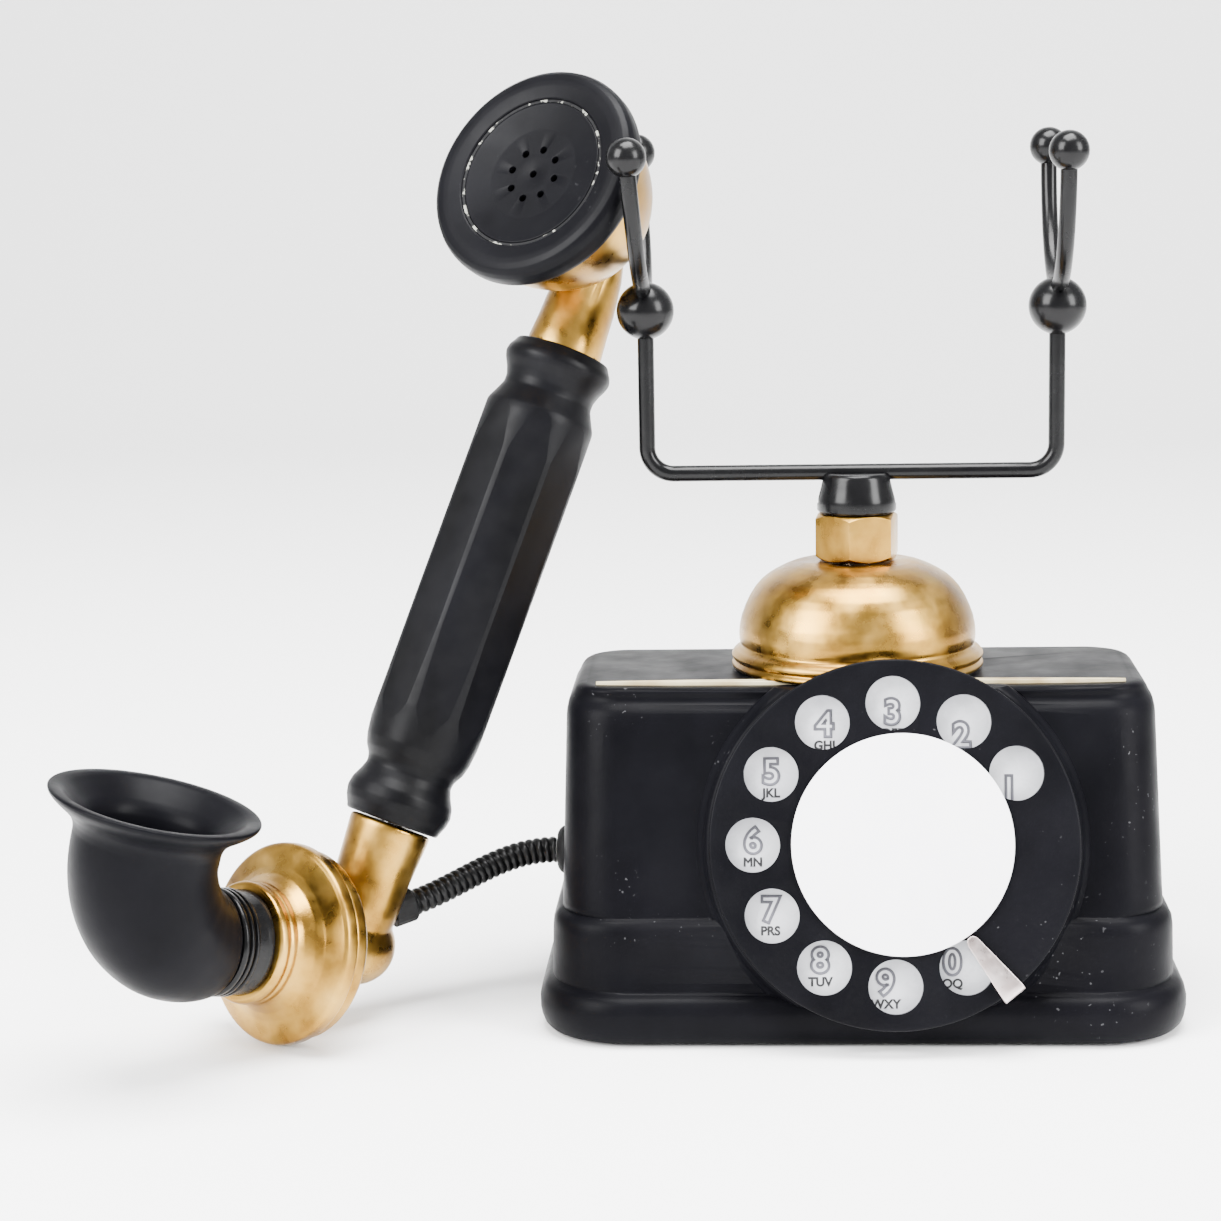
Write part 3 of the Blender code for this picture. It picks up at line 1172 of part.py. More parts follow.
def make_horn(start):
    """A bent speaking horn, open at both ends, from the collar up past the transmitter's front."""
    straight = 3.0 * MM
    turn, lean = math.radians(HORN_TURN), math.radians(HORN_LEAN)
    stations = [(Vector((0, 0, start)), 0.0, 0.0), (Vector((0, 0, start + straight)), 0.0, 0.0)]
    centre = Vector((0, HORN_BEND, start + straight))
    for i in range(1, 7):
        angle = turn * i / 6
        point = centre + HORN_BEND * Vector((0, -math.cos(angle), math.sin(angle)))
        stations.append((point, angle, lean * i / 6))
    end = stations[-1][0]
    onward = Vector((math.sin(lean), math.cos(lean) * math.sin(turn), math.cos(lean) * math.cos(turn)))
    stations += [(end + onward * HORN_RISE * share, turn, lean) for share in (0.35, 0.62, 0.80, 0.93, 1.0)]
    swell = (0.755, 0.81, 0.89, 0.95, 0.985, 1.0, 1.0, 1.0, 1.02)
    rim = HORN_RIM_RADIUS
    radii = [HORN_RADIUS * share for share in swell] + [0.75 * rim, 0.87 * rim, 0.98 * rim, 0.985 * rim]
    inner = [radius - HORN_WALL for radius in radii[:-1]] + [radii[-1] - 1.6 * MM]
    inner[0] = MOUTH_BORE
    rings = [horn_ring(place, radius) for place, radius in zip(stations, radii)]
    rings += [horn_ring(place, radius) for place, radius in zip(stations[::-1], inner[::-1])]
    loft("horn", rings, BLACK_PAINT, matrix=MOUTH_MATRIX, through=True)


def horn_ring(place, radius, around=24):
    centre, angle, lean = place
    along = Vector((0, math.sin(angle), math.cos(angle)))
    across = Vector((0, math.cos(angle), -math.sin(angle)))
    aside = math.cos(lean) * Vector((1, 0, 0)) - math.sin(lean) * along
    turns = [2 * math.pi * i / around for i in range(around)]
    return [centre + radius * (math.cos(a) * aside + math.sin(a) * across) for a in turns]


def make_cord():
    outlet = outlet_matrix()
    ferrule_low = OUTLET_SOCKET + GAP
    ferrule_high = ferrule_low + FERRULE_LENGTH
    ferrule = [
        (0, ferrule_high), (FERRULE_RADIUS - 0.5 * MM, ferrule_high),
        (FERRULE_RADIUS, ferrule_high - 0.6 * MM),
        (FERRULE_RADIUS, ferrule_low), (0, ferrule_low),
    ]
    turned("handset_cord_ferrule", ferrule, BLACK_RUBBER, matrix=outlet, steps=20)
    out = outlet.to_3x3() @ Vector((0, 0, 1))
    start = outlet @ Vector((0, 0, ferrule_high + GAP))
    side = Vector((-1, 0, 0))
    end = GLAND_PLACE + side * (GLAND_NOSE + GAP)
    points = bezier_path(start, start + out * CORD_HANDLE, end + side * CORD_HANDLE, end, 12)
    wire("handset_cord", points, CORD_RADIUS, BLACK_RUBBER, sides=2)


def main():
    make_housing()
    make_base()
    make_cord_gland()
    make_dial()
    make_cradle(make_bell())
    make_hook_switch()
    make_ringer()
    make_fittings()
    make_grip()
    make_receiver()
    make_transmitter()
    make_cord()


main()
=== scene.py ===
"""The looks of a French-style cradle telephone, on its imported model.

Lengths are in metres in the model's own frame: +Z up, the dial facing -Y.
"""

import math

import bmesh
import bpy
from mathutils import Matrix, Vector


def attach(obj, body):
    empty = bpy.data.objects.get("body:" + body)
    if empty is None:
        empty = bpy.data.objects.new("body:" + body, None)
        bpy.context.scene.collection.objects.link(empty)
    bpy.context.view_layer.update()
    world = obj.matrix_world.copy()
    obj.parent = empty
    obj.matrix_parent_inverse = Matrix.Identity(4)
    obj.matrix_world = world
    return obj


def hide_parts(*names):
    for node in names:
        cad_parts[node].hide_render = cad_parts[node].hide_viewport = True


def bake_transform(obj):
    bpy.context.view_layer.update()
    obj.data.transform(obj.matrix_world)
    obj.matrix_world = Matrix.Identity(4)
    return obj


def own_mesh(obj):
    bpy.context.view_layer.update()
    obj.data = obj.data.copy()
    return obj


MM = 0.001
GAP = 0.3 * MM

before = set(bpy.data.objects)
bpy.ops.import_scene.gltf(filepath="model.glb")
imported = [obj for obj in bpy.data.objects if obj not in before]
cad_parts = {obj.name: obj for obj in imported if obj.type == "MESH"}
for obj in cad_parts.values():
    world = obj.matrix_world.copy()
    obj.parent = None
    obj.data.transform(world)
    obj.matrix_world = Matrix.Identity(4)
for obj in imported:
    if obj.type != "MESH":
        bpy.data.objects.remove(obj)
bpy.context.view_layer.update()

# ---- camera

CAMERA_PLACE = Vector((-18.2, -685.5, 208.2)) * MM
CAMERA_TURN = math.radians(3.2)  # to the left of straight ahead
CAMERA_DIP = math.radians(9.73)
CAMERA_ROLL = math.radians(1.0)
LENS = 89.3  # millimetres, on a sensor SENSOR wide
SENSOR = 36


def make_camera():
    forward = Vector(
        (
            -math.sin(CAMERA_TURN) * math.cos(CAMERA_DIP),
            math.cos(CAMERA_TURN) * math.cos(CAMERA_DIP),
            -math.sin(CAMERA_DIP),
        )
    )
    level = forward.cross(Vector((0, 0, 1))).normalized()
    upright = level.cross(forward)
    right = math.cos(CAMERA_ROLL) * level - math.sin(CAMERA_ROLL) * upright
    up = math.sin(CAMERA_ROLL) * level + math.cos(CAMERA_ROLL) * upright
    camera = bpy.data.objects.new("camera", bpy.data.cameras.new("camera"))
    camera.data.lens = LENS
    camera.data.sensor_width = SENSOR
    camera.data.clip_start = 0.05
    turn = Matrix((right, up, -forward)).transposed().to_4x4()
    camera.matrix_world = Matrix.Translation(CAMERA_PLACE) @ turn
    bpy.context.scene.collection.objects.link(camera)
    bpy.context.scene.camera = camera


make_camera()

# ---- materials


def hex_colour(code):
    """An sRGB hex colour as a linear RGBA value."""
    shares = [int(code[i : i + 2], 16) / 255 for i in (1, 3, 5)]
    linear = [c / 12.92 if c <= 0.04045 else ((c + 0.055) / 1.055) ** 2.4 for c in shares]
    return (*linear, 1.0)


def add_node(material, kind, settings=None, links=None):
    """Add a node with its settings; each link is a socket, or a value for the node's own socket."""
    tree = material.node_tree
    node = tree.nodes.new(kind)
    for key, value in (settings or {}).items():
        setattr(node, key, value)
    for key, value in (links or {}).items():
        if isinstance(value, bpy.types.NodeSocket):
            tree.links.new(value, node.inputs[key])
        else:
            node.inputs[key].default_value = value
    return node


def new_material(name, **sockets):
    """A material and its shader; an underscore in a socket's name stands for a space."""
    material = bpy.data.materials.new(name)
    material.use_nodes = True
    shader = material.node_tree.nodes["Principled BSDF"]
    for key, value in sockets.items():
        shader.inputs[key.replace("_", " ")].default_value = value
    return material, shader


def grain(material, size_mm, detail=3.0, stretch=(1, 1, 1)):
    """A noise whose features are about size_mm across; its output runs from 0 to 1."""
    coordinates = add_node(material, "ShaderNodeTexCoord")
    mapping = add_node(
        material, "ShaderNodeMapping", links={"Vector": coordinates.outputs["Object"], "Scale": stretch}
    )
    links = {"Vector": mapping.outputs["Vector"], "Scale": 1000.0 / size_mm, "Detail": detail}
    return add_node(material, "ShaderNodeTexNoise", links=links).outputs[0]


def ramp(material, factor, stops):
    """Map a factor through (position, value) stops; a value is a hex colour or a share."""
    node = add_node(material, "ShaderNodeValToRGB", links={"Fac": factor})
    elements = node.color_ramp.elements
    while len(elements) < len(stops):
        elements.new(0.5)
    for element, (position, value) in zip(elements, stops):
        element.position = position
        element.color = hex_colour(value) if isinstance(value, str) else (value, value, value, 1)
    return node.outputs["Color"]


def blend_colour(material, factor, first, second):
    """Mix two colours, each a hex colour or a socket."""
    node = add_node(material, "ShaderNodeMix", {"data_type": "RGBA"}, {"Factor": factor})
    for index, value in ((6, first), (7, second)):
        if isinstance(value, bpy.types.NodeSocket):
            material.node_tree.links.new(value, node.inputs[index])
        else:
            node.inputs[index].default_value = hex_colour(value)
    return node.outputs[2]


def relief(material, heights):
    """Chain bumps of (height, depth in mm, strength) and give the last normal."""
    normal = None
    for height, depth, strength in heights:
        links = {"Height": height, "Distance": depth * MM, "Strength": strength}
        if normal:
            links["Normal"] = normal
        normal = add_node(material, "ShaderNodeBump", links=links).outputs["Normal"]
    return normal


def surface(material, shader, colour, pattern, dullness, heights):
    """Give the shader a colour, a roughness that the pattern takes between two values, and bumps."""
    low, high = dullness
    sockets = {
        "Base Color": colour,
        "Roughness": ramp(material, pattern, ((0.3, low), (0.7, high))),
        "Normal": relief(material, heights),
    }
    for key, socket in sockets.items():
        material.node_tree.links.new(socket, shader.inputs[key])
    return material


def satin_paint(name, peel=0.22, dust=0.62, gloss=0.03):
    """Sprayed satin paint on a casting: fine orange peel, a few pale specks, soft cloudy gloss."""
    material, shader = new_material(name, Specular_IOR_Level=gloss)
    cloud = grain(material, 22)
    colour = ramp(material, cloud, ((0.3, "#050507"), (0.7, "#0b0b0e")))
    # The specks are about a millimetre apart and gather in patches; dust sets how few there are.
    specks = ramp(material, grain(material, 1.1, 1.0), ((dust + 0.10, 0.0), (dust + 0.13, 1.0)))
    gathered = ramp(material, grain(material, 34, 2.0), ((0.56, 0.0), (0.68, 0.25)))
    seen = add_node(material, "ShaderNodeMath", {"operation": "MULTIPLY"}, {0: specks, 1: gathered})
    colour = blend_colour(material, seen.outputs[0], colour, "#77777a")
    heights = ((grain(material, 1.3, 2.0), 0.10, peel), (grain(material, 26, 1.0), 0.5, 0.10))
    return surface(material, shader, colour, grain(material, 9), (0.34, 0.46), heights)


def gold_lacquer(name, worn):
    """Gold lacquer brushed over a casting: warm, cloudy, darker and greener where it has worn."""
    material, shader = new_material(name, Metallic=1.0)
    cloud = grain(material, 12, 4.0)
    warm = ramp(material, cloud, ((0.32, "#77541f"), (0.5, "#a07a33"), (0.72, "#c39c4f")))
    edge = 0.60 - worn * 0.06
    patch = ramp(material, grain(material, 17, 6.0), ((edge, 0.0), (edge + 0.14, worn)))
    tarnish = ramp(material, grain(material, 5), ((0.35, "#4f3a12"), (0.65, "#5f5b28")))
    colour = blend_colour(material, patch, warm, tarnish)
    brushed = grain(material, 0.8, 2.0, (1, 1, 0.25))
    heights = ((brushed, 0.05, 0.20), (grain(material, 7, 2.0), 0.25, 0.16))
    return surface(material, shader, colour, grain(material, 6, 4.0), (0.22, 0.40), heights)


def lacquered_wood():
    """Black lacquer on a faceted wooden grip: smooth, softly rippled, rubbed a little grey."""
    material, shader = new_material("lacquered_wood", Specular_IOR_Level=0.075)
    colour = ramp(material, grain(material, 14, 4.0, (1, 1, 0.35)), ((0.35, "#050506"), (0.7, "#0c0c0f")))
    ripple = grain(material, 18, 1.0, (1, 1, 0.4))
    heights = ((grain(material, 1.6, 2.0), 0.08, 0.15), (ripple, 0.4, 0.15))
    return surface(material, shader, colour, grain(material, 5), (0.34, 0.48), heights)


def gloss_enamel():
    """Stove enamel on steel wire: black and glossy, with a faint run in it."""
    material, shader = new_material("gloss_enamel", Specular_IOR_Level=0.16)
    colour = ramp(material, grain(material, 10), ((0.3, "#040405"), (0.7, "#0a0a0b")))
    heights = ((grain(material, 3.5, 1.0), 0.08, 0.2),)
    return surface(material, shader, colour, grain(material, 4), (0.18, 0.30), heights)


def moulded_rubber(name, code="#09090a", low=0.55, high=0.75):
    """Black rubber, or thick lacquer where low and high are less: dull, with a very fine skin."""
    material, shader = new_material(name, Specular_IOR_Level=0.15)
    colour = blend_colour(material, grain(material, 6), code, "#0d0d0e")
    heights = ((grain(material, 0.6, 2.0), 0.04, 0.3),)
    return surface(material, shader, colour, grain(material, 2), (low, high), heights)


def smooth_enamel(name, code, shade, low=0.22, high=0.34):
    """Printed or enamelled sheet: nearly even, with a faint cloud."""
    material, shader = new_material(name, Specular_IOR_Level=0.45)
    cloud = ramp(material, grain(material, 15), ((0.4, 0.0), (0.7, 1.0)))
    colour = blend_colour(material, cloud, code, shade)
    heights = ((grain(material, 0.7, 2.0), 0.02, 0.2),)
    return surface(material, shader, colour, grain(material, 3), (low, high), heights)


def chipped_edge():
    """Black paint on a sharp edge, chipped through to pale primer in short runs."""
    material, shader = new_material("chipped_edge", Specular_IOR_Level=0.15)
    chips = ramp(material, grain(material, 2.2, 5.0), ((0.56, 0.0), (0.60, 1.0)))
    colour = blend_colour(material, chips, "#09090b", "#85857e")
    return surface(material, shader, colour, grain(material, 1.0), (0.45, 0.7), ((chips, 0.05, 0.5),))


def bare_metal(name, dark, light, low, high):
    """Machined or plated metal with fine tool lines; low and high bound its roughness."""
    material, shader = new_material(name, Metallic=1.0)
    stretch = (1, 1, 0.1)
    colour = ramp(material, grain(material, 5, 3.0), ((0.3, dark), (0.7, light)))
    heights = ((grain(material, 0.5, 1.0, stretch), 0.03, 0.25),)
    return surface(material, shader, colour, grain(material, 1.5, 3.0, stretch), (low, high), heights)


def wound_copper():
    """Enamelled wire in close turns about the coil's axis, drawn 0.6 mm thick so that it shows."""
    material, shader = new_material("wound_copper", Metallic=0.8)
    coordinates = add_node(material, "ShaderNodeTexCoord")
    turns = add_node(
        material, "ShaderNodeTexWave", {"bands_direction": "Z"},
        {"Vector": coordinates.outputs["Object"], "Scale": 1000 / (0.6 * 6.28), "Distortion": 0.4},
    )
    # The colour follows the turns: painted highlight on each turn's crest and painted shade in the creases
    # between turns.
    colour = ramp(material, turns.outputs["Fac"], ((0.2, "#4a1c0c"), (0.8, "#a5562c")))
    heights = ((turns.outputs["Fac"], 0.15, 0.8),)
    return surface(material, shader, colour, grain(material, 3), (0.3, 0.45), heights)


def wool_felt():
    """Pressed green felt: no shine, with a short fuzz."""
    material, shader = new_material("wool_felt", Sheen_Weight=0.5, Sheen_Roughness=0.6)
    colour = ramp(material, grain(material, 0.9, 5.0), ((0.3, "#1c3a2a"), (0.7, "#2f5a41")))
    heights = ((grain(material, 0.5, 4.0, (1, 1, 3)), 0.2, 0.8),)
    return surface(material, shader, colour, grain(material, 2), (0.85, 1.0), heights)


BODY_PAINT = satin_paint("satin_paint_body")
DIAL_PAINT = satin_paint("satin_paint_dial", peel=1.0, dust=0.66, gloss=0.04)
EAR_PAINT = satin_paint("matt_paint_ear_cap", peel=0.18, dust=0.58, gloss=0.055)
HORN_PAINT = satin_paint("satin_paint_horn", peel=0.16, dust=0.70, gloss=0.035)
GOLD_BELL = gold_lacquer("gold_lacquer_bell", 0.35)
GOLD_HANDSET = gold_lacquer("gold_lacquer_handset", 0.6)
WOOD = lacquered_wood()
ENAMEL = gloss_enamel()
RUBBER = moulded_rubber("moulded_rubber")
HOSE = moulded_rubber("lacquered_hose", "#060606", 0.28, 0.42)
# The plate's white enamel is greyed with painted shade, for the shadow that the wheel above it casts.
PLATE_GREY_PAINTED_SHADE = smooth_enamel("plate_enamel_painted_shade", "#c9cace", "#b7b8be")
CARD_WHITE = smooth_enamel("label_card", "#f6f5f9", "#f1f0f5", 0.5, 0.6)
DIGIT_GREY = smooth_enamel("digit_ink_grey", "#3f3f45", "#62626a", 0.5, 0.6)
LETTER_BLACK = smooth_enamel("letter_ink_black", "#1a1a1c", "#2b2b2e", 0.5, 0.6)
CHIPPED_PAINT = chipped_edge()
TRIM_GILT = smooth_enamel("worn_gilt_trim", "#cabf9c", "#8c7443", 0.4, 0.6)
STOP_SILVER = bare_metal("silvered_finger_stop", "#b9a9a6", "#d8cdcb", 0.25, 0.38)
PLATED = bare_metal("plated_steel", "#8d8e91", "#b9babd", 0.22, 0.38)
SPRUNG = bare_metal("blued_spring_steel", "#4a4d55", "#6c6f78", 0.25, 0.4)
TURNED_BRASS = bare_metal("turned_brass", "#a87f33", "#d1a856", 0.2, 0.35)
CAN_ZINC = bare_metal("drawn_zinc_can", "#7c7e80", "#a5a7a9", 0.35, 0.5)
COPPER = wound_copper()
BAKELITE = smooth_enamel("pressed_bakelite", "#2b1710", "#3c2218", 0.25, 0.4)
FELT = wool_felt()

# ---- making pieces


def frame_at(origin, direction, up=Vector((0, 0, 1))):
    """A matrix with its Z along direction and its Y as near to up as it can be."""
    z = direction.normalized()
    y = (up - up.dot(z) * z).normalized()
    turn = Matrix((y.cross(z), y, z)).transposed().to_4x4()
    return Matrix.Translation(origin) @ turn


def link(name, data, matrix=None):
    made = bpy.data.objects.new(name, data)
    bpy.context.scene.collection.objects.link(made)
    made.matrix_world = matrix or Matrix()
    return made


def evaluated(obj, angle=32.0):
    """The object with its modifiers made real, smooth but for edges sharper than angle."""
    bpy.context.view_layer.update()
    graph = bpy.context.evaluated_depsgraph_get()
    mesh = bpy.data.meshes.new_from_object(obj.evaluated_get(graph))
    bm = bmesh.new()
    bm.from_mesh(mesh)
    bmesh.ops.remove_doubles(bm, verts=bm.verts, dist=0.000004)
    bmesh.ops.recalc_face_normals(bm, faces=bm.faces)
    bm.to_mesh(mesh)
    bm.free()
    mesh.shade_smooth()
    mesh.set_sharp_from_angle(angle=math.radians(angle))
    mesh.materials.clear()
    name, matrix = obj.name, obj.matrix_world.copy()
    bpy.data.objects.remove(obj, do_unlink=True)
    return link(name, mesh, matrix)


def turned(name, profile, matrix=None, steps=96, closed=False):
    """Turn (radius, height) points, listed down the outer side, about local Z."""
    mesh = bpy.data.meshes.new(name)
    edges = [(i, i + 1) for i in range(len(profile) - 1)]
    if closed:
        edges.append((len(profile) - 1, 0))
    mesh.from_pydata([(r, 0.0, h) for r, h in profile], edges, [])
    made = link(name, mesh, matrix)
    screw = made.modifiers.new("turn", "SCREW")
    screw.steps = steps
    screw.render_steps = steps
    screw.use_merge_vertices = True
    screw.merge_threshold = 0.00002
    return evaluated(made)


def softened(profile, cut, closed=False, steps=3):
    """The profile with each corner rounded by a short arc that starts cut away from it."""
    points = [Vector((r, h)) for r, h in profile]
    last = len(points) - 1
    soft = []
    for i, corner in enumerate(points):
        if not closed and i in (0, last):
            soft.append(tuple(corner))
            continue
        before, after = points[i - 1], points[(i + 1) % len(points)]
        start = corner + (before - corner).normalized() * min(cut, (before - corner).length * 0.45)
        end = corner + (after - corner).normalized() * min(cut, (after - corner).length * 0.45)
        for j in range(steps + 1):
            t = j / steps
            soft.append(tuple((1 - t) ** 2 * start + 2 * t * (1 - t) * corner + t**2 * end))
    return soft


def cylinder(name, radius, low, high, matrix=None, steps=48):
    return turned(name, [(0, high), (radius, high), (radius, low), (0, low)], matrix, steps)


def skinned(name, rings, matrix=None, through=False):
    """Skin rings that have the same number of points; through joins the last to the first."""
    bm = bmesh.new()
    loops = [[bm.verts.new(point) for point in ring] for ring in rings]
    pairs = list(zip(loops, loops[1:]))
    if through:
        pairs.append((loops[-1], loops[0]))
    for low, high in pairs:
        for i in range(len(low)):
            j = (i + 1) % len(low)
            bm.faces.new((low[i], low[j], high[j], high[i]))
    if not through:
        bm.faces.new(list(reversed(loops[0])))
        bm.faces.new(loops[-1])
    bmesh.ops.recalc_face_normals(bm, faces=bm.faces)
    mesh = bpy.data.meshes.new(name)
    bm.to_mesh(mesh)
    bm.free()
    return link(name, mesh, matrix)


def prism(name, outline, low, high, matrix=None):
    return skinned(name, [[(x, y, z) for x, y in outline] for z in (low, high)], matrix)


def polygon(sides, corner, first):
    """A regular outline whose corners are at radius corner, the first at an angle in degrees."""
    angles = [math.radians(first + 360 / sides * i) for i in range(sides)]
    return [(corner * math.cos(a), corner * math.sin(a)) for a in angles]


def block(name, low, high):
    (x0, y0, z0), (x1, y1, z1) = low, high
    return prism(name, [(x0, y0), (x1, y0), (x1, y1), (x0, y1)], z0, z1)


def sphere(name, radius, centre, segments=48):
    bm = bmesh.new()
    bmesh.ops.create_uvsphere(bm, u_segments=segments, v_segments=segments // 2, radius=radius)
    # Blender lists a sphere's points and faces in an order that changes from run to run, so they
    # are put in order along a line that is square to none of its edges.
    line = Vector((1.0, 17.3, 311.7))
    bm.verts.sort(key=lambda vert: vert.co.dot(line))
    bm.faces.sort(key=lambda face: face.calc_center_median().dot(line))
    mesh = bpy.data.meshes.new(name)
    bm.to_mesh(mesh)
    bm.free()
    mesh.shade_smooth()
    return link(name, mesh, Matrix.Translation(centre))


def rod(name, points, radius, matrix=None):
    data = bpy.data.curves.new(name, "CURVE")
    data.dimensions = "3D"
    data.bevel_depth = radius
    data.bevel_resolution = 8
    data.use_fill_caps = True
    spline = data.splines.new("POLY")
    spline.points.add(len(points) - 1)
    for place, point in zip(spline.points, points):
        place.co = (*point, 1.0)
    return evaluated(link(name, data, matrix))


def joined(obj, *tools, operation="UNION"):
    """Join the tools to obj, or cut them from it, and use them up."""
    for tool in tools:
        step = obj.modifiers.new(tool.name, "BOOLEAN")
        step.operation = operation
        step.object = tool
    made = evaluated(obj)
    for tool in tools:
        bpy.data.objects.remove(tool, do_unlink=True)
    return made


def cut(obj, *tools):
    return joined(obj, *tools, operation="DIFFERENCE")


def eased(obj, width, angle=32.0, segments=3):
    """Round every edge sharper than angle."""
    bevel = obj.modifiers.new("edges", "BEVEL")
    bevel.width = width
    bevel.segments = segments
    bevel.limit_method = "ANGLE"
    bevel.angle_limit = math.radians(angle)
    bevel.use_clamp_overlap = True
    return evaluated(obj, 40)


def flowed(obj, voxel, rounds):
    """Melt joined shapes into one soft casting."""
    remesh = obj.modifiers.new("melt", "REMESH")
    remesh.mode = "VOXEL"
    remesh.voxel_size = voxel
    smooth = obj.modifiers.new("smooth", "SMOOTH")
    smooth.factor = 0.5
    smooth.iterations = rounds
    return evaluated(obj, 80)


def finished(obj, material, slot, *nodes):
    """Give a piece its finish and hide the CAD nodes that it stands for; slot is not used."""
    obj.data.materials.clear()
    obj.data.materials.append(material)
    if nodes:
        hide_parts(*nodes)


def placed(obj, body, material, slot, *nodes):
    """Finish a piece and let it ride on its body."""
    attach(obj, body)
    finished(obj, material, slot, *nodes)


def millimetres(profile):
    """A profile drawn in millimetres, in metres."""
    return [(r * MM, h * MM) for r, h in profile]


def arc(centre, radius, start, end, steps):
    """Points round a circle, between two angles in degrees."""
    angles = [math.radians(start + (end - start) * i / steps) for i in range(steps + 1)]
    return [(centre[0] + radius * math.cos(a), centre[1] + radius * math.sin(a)) for a in angles]


# ---- body casting

BLOCK_TOP = 77.0 * MM
SLOPE = math.atan2(12.25, 49.5)
DIAL_NORMAL = Vector((0, -math.cos(SLOPE), math.sin(SLOPE)))
DIAL_MATRIX = frame_at(Vector((6.8, -34.04, 43.5)) * MM, DIAL_NORMAL)
GLAND_PLACE = Vector((-66.77, 0, 34.0)) * MM
GLAND_MATRIX = frame_at(GLAND_PLACE, Vector((-1, 0, 0)))
TRIM_Y = -20.0 * MM
POST_BORE = 5.3 * MM
# Height, half width, half depth and corner radius, in millimetres, from the foot up
PLINTH_LEVELS = (
    (1.0, 70.6, 43.8, 18), (1.9, 71.5, 44.7, 19), (3.2, 72.1, 45.3, 20), (5.0, 72.4, 45.6, 20),
    (7.5, 72.4, 45.6, 20), (9.4, 72.0, 45.2, 20), (10.6, 71.2, 44.4, 19), (11.3, 70.3, 43.4, 18),
    (11.6, 69.6, 42.5, 17.5), (12.0, 69.3, 41.9, 17),
)
STEP_LEVELS = (
    (12.6, 69.5, 41.8, 17), (14.0, 69.5, 41.3, 16.5), (18.0, 69.4, 40.9, 16), (23.6, 69.2, 40.6, 15),
    (25.4, 69.0, 40.4, 15), (26.4, 68.5, 39.9, 14.5), (27.1, 67.9, 39.3, 14), (27.5, 67.3, 38.7, 13.5),
    (27.8, 66.8, 38.1, 13),
)
BLOCK_LEVELS = (
    (28.3, 66.9, 38.0, 12.5), (29.5, 66.9, 37.7, 12), (42.0, 66.6, 34.5, 12), (56.0, 66.3, 31.0, 12),
    (69.6, 66.0, 27.6, 12), (70.8, 65.9, 27.25, 12), (71.8, 65.7, 26.9, 12), (72.7, 65.5, 26.3, 12),
    (73.4, 65.2, 25.6, 12), (73.9, 64.9, 25.05, 11.5), (74.6, 64.5, 24.7, 11), (75.3, 64.2, 24.7, 11),
    (75.9, 63.8, 24.85, 10.5), (76.4, 63.3, 24.7, 10), (76.8, 62.5, 24.1, 9), (77.0, 61.4, 23.2, 8),
)
HOLLOW_LEVELS = (
    (74.0, 60.9, 21.5, 8), (70.0, 63.0, 24.5, 9), (26.0, 63.9, 35.3, 9), (24.5, 65.8, 37.1, 12),
    (1.0, 65.8, 37.1, 12),
)


def level_ring(z, half_width, half_depth, radius):
    """A rounded rectangle at height z, as a ring of points; all in millimetres."""
    ring = []
    for quarter, (sx, sy) in enumerate(((1, 1), (-1, 1), (-1, -1), (1, -1))):
        centre = (sx * (half_width - radius), sy * (half_depth - radius))
        corner = arc(centre, radius, 90 * quarter, 90 * quarter + 90, 12)
        ring += [(x * MM, y * MM, z * MM) for x, y in corner]
    return ring


def panel_outline(half_width, height, radius, foot):
    """A panel with round top corners, from foot up to height."""
    outline = arc((half_width - radius, height - radius), radius, 0, 90, 10)
    outline += [(-x, y) for x, y in reversed(outline)]
    return outline + [(-half_width, foot), (half_width, foot)]


def lens_outline(length, width):
    """A long shape that is pointed at both ends and nearly straight between."""
    half, steps = length / 2, 20
    xs = [half * math.sin(math.pi / 2 * i / steps) for i in range(-steps, steps + 1)]
    edge = [(x, width / 2 * (1 - (x / half) ** 4)) for x in xs]
    return edge[::-1] + [(x, -y) for x, y in edge[1:-1]]


def make_body():
    """The cast case: plinth, step and block, hollow from below, with the dial's boss on its front."""
    levels = HOLLOW_LEVELS + PLINTH_LEVELS + STEP_LEVELS + BLOCK_LEVELS
    body = skinned("body_casting", [level_ring(*level) for level in levels])
    panel_frame = frame_at(Vector((0, -38.0, 28.2)) * MM, DIAL_NORMAL)
    # A shallow groove frames the front panel and leaves a narrow strip at each side.
    outer = panel_outline(63.0 * MM, 40.5 * MM, 7.0 * MM, -1.5 * MM)
    inner = panel_outline(62.0 * MM, 39.5 * MM, 6.0 * MM, -1.6 * MM)
    loops = [
        [(x, y, z) for x, y in outline]
        for outline, z in ((outer, -0.55 * MM), (outer, 3 * MM), (inner, 3 * MM), (inner, -0.55 * MM))
    ]
    groove = skinned("panel_groove", loops, panel_frame, through=True)
    boss = [(0, 3.5), (41.0, 3.5), (41.9, 1.4), (43.5, 0.0), (43.5, -2.9), (0, -2.9)]
    boss = turned("dial_boss", millimetres(softened(boss, 0.8)), DIAL_MATRIX, 128)
    room = block("boss_room", (-0.1, -0.1, 10.0 * MM), (0.1, 0.1, 77.3 * MM))
    boss = joined(boss, room, operation="INTERSECT")
    body = joined(body, boss)
    trim_place = Matrix.Translation((0, TRIM_Y, 0))
    trim_room = lens_outline(118.6 * MM, 3.3 * MM)
    bores = [
        groove,
        cylinder("dial_bore", 31.3 * MM, -14 * MM, 12 * MM, DIAL_MATRIX, 96),
        cylinder("bell_bore", POST_BORE, 69 * MM, 81 * MM),
        block("striker_slot", (15.3 * MM, -4 * MM, 69 * MM), (24.3 * MM, 4 * MM, 81 * MM)),
        cylinder("gland_bore", 4.05 * MM, -8 * MM, 8 * MM, GLAND_MATRIX),
        prism("trim_groove", trim_room, BLOCK_TOP - 1.3 * MM, BLOCK_TOP + 4 * MM, trim_place),
    ]
    body = cut(body, *bores)
    body = eased(body, 0.25 * MM, 40, 2)
    placed(body, "body", BODY_PAINT, "black_paint", "housing")


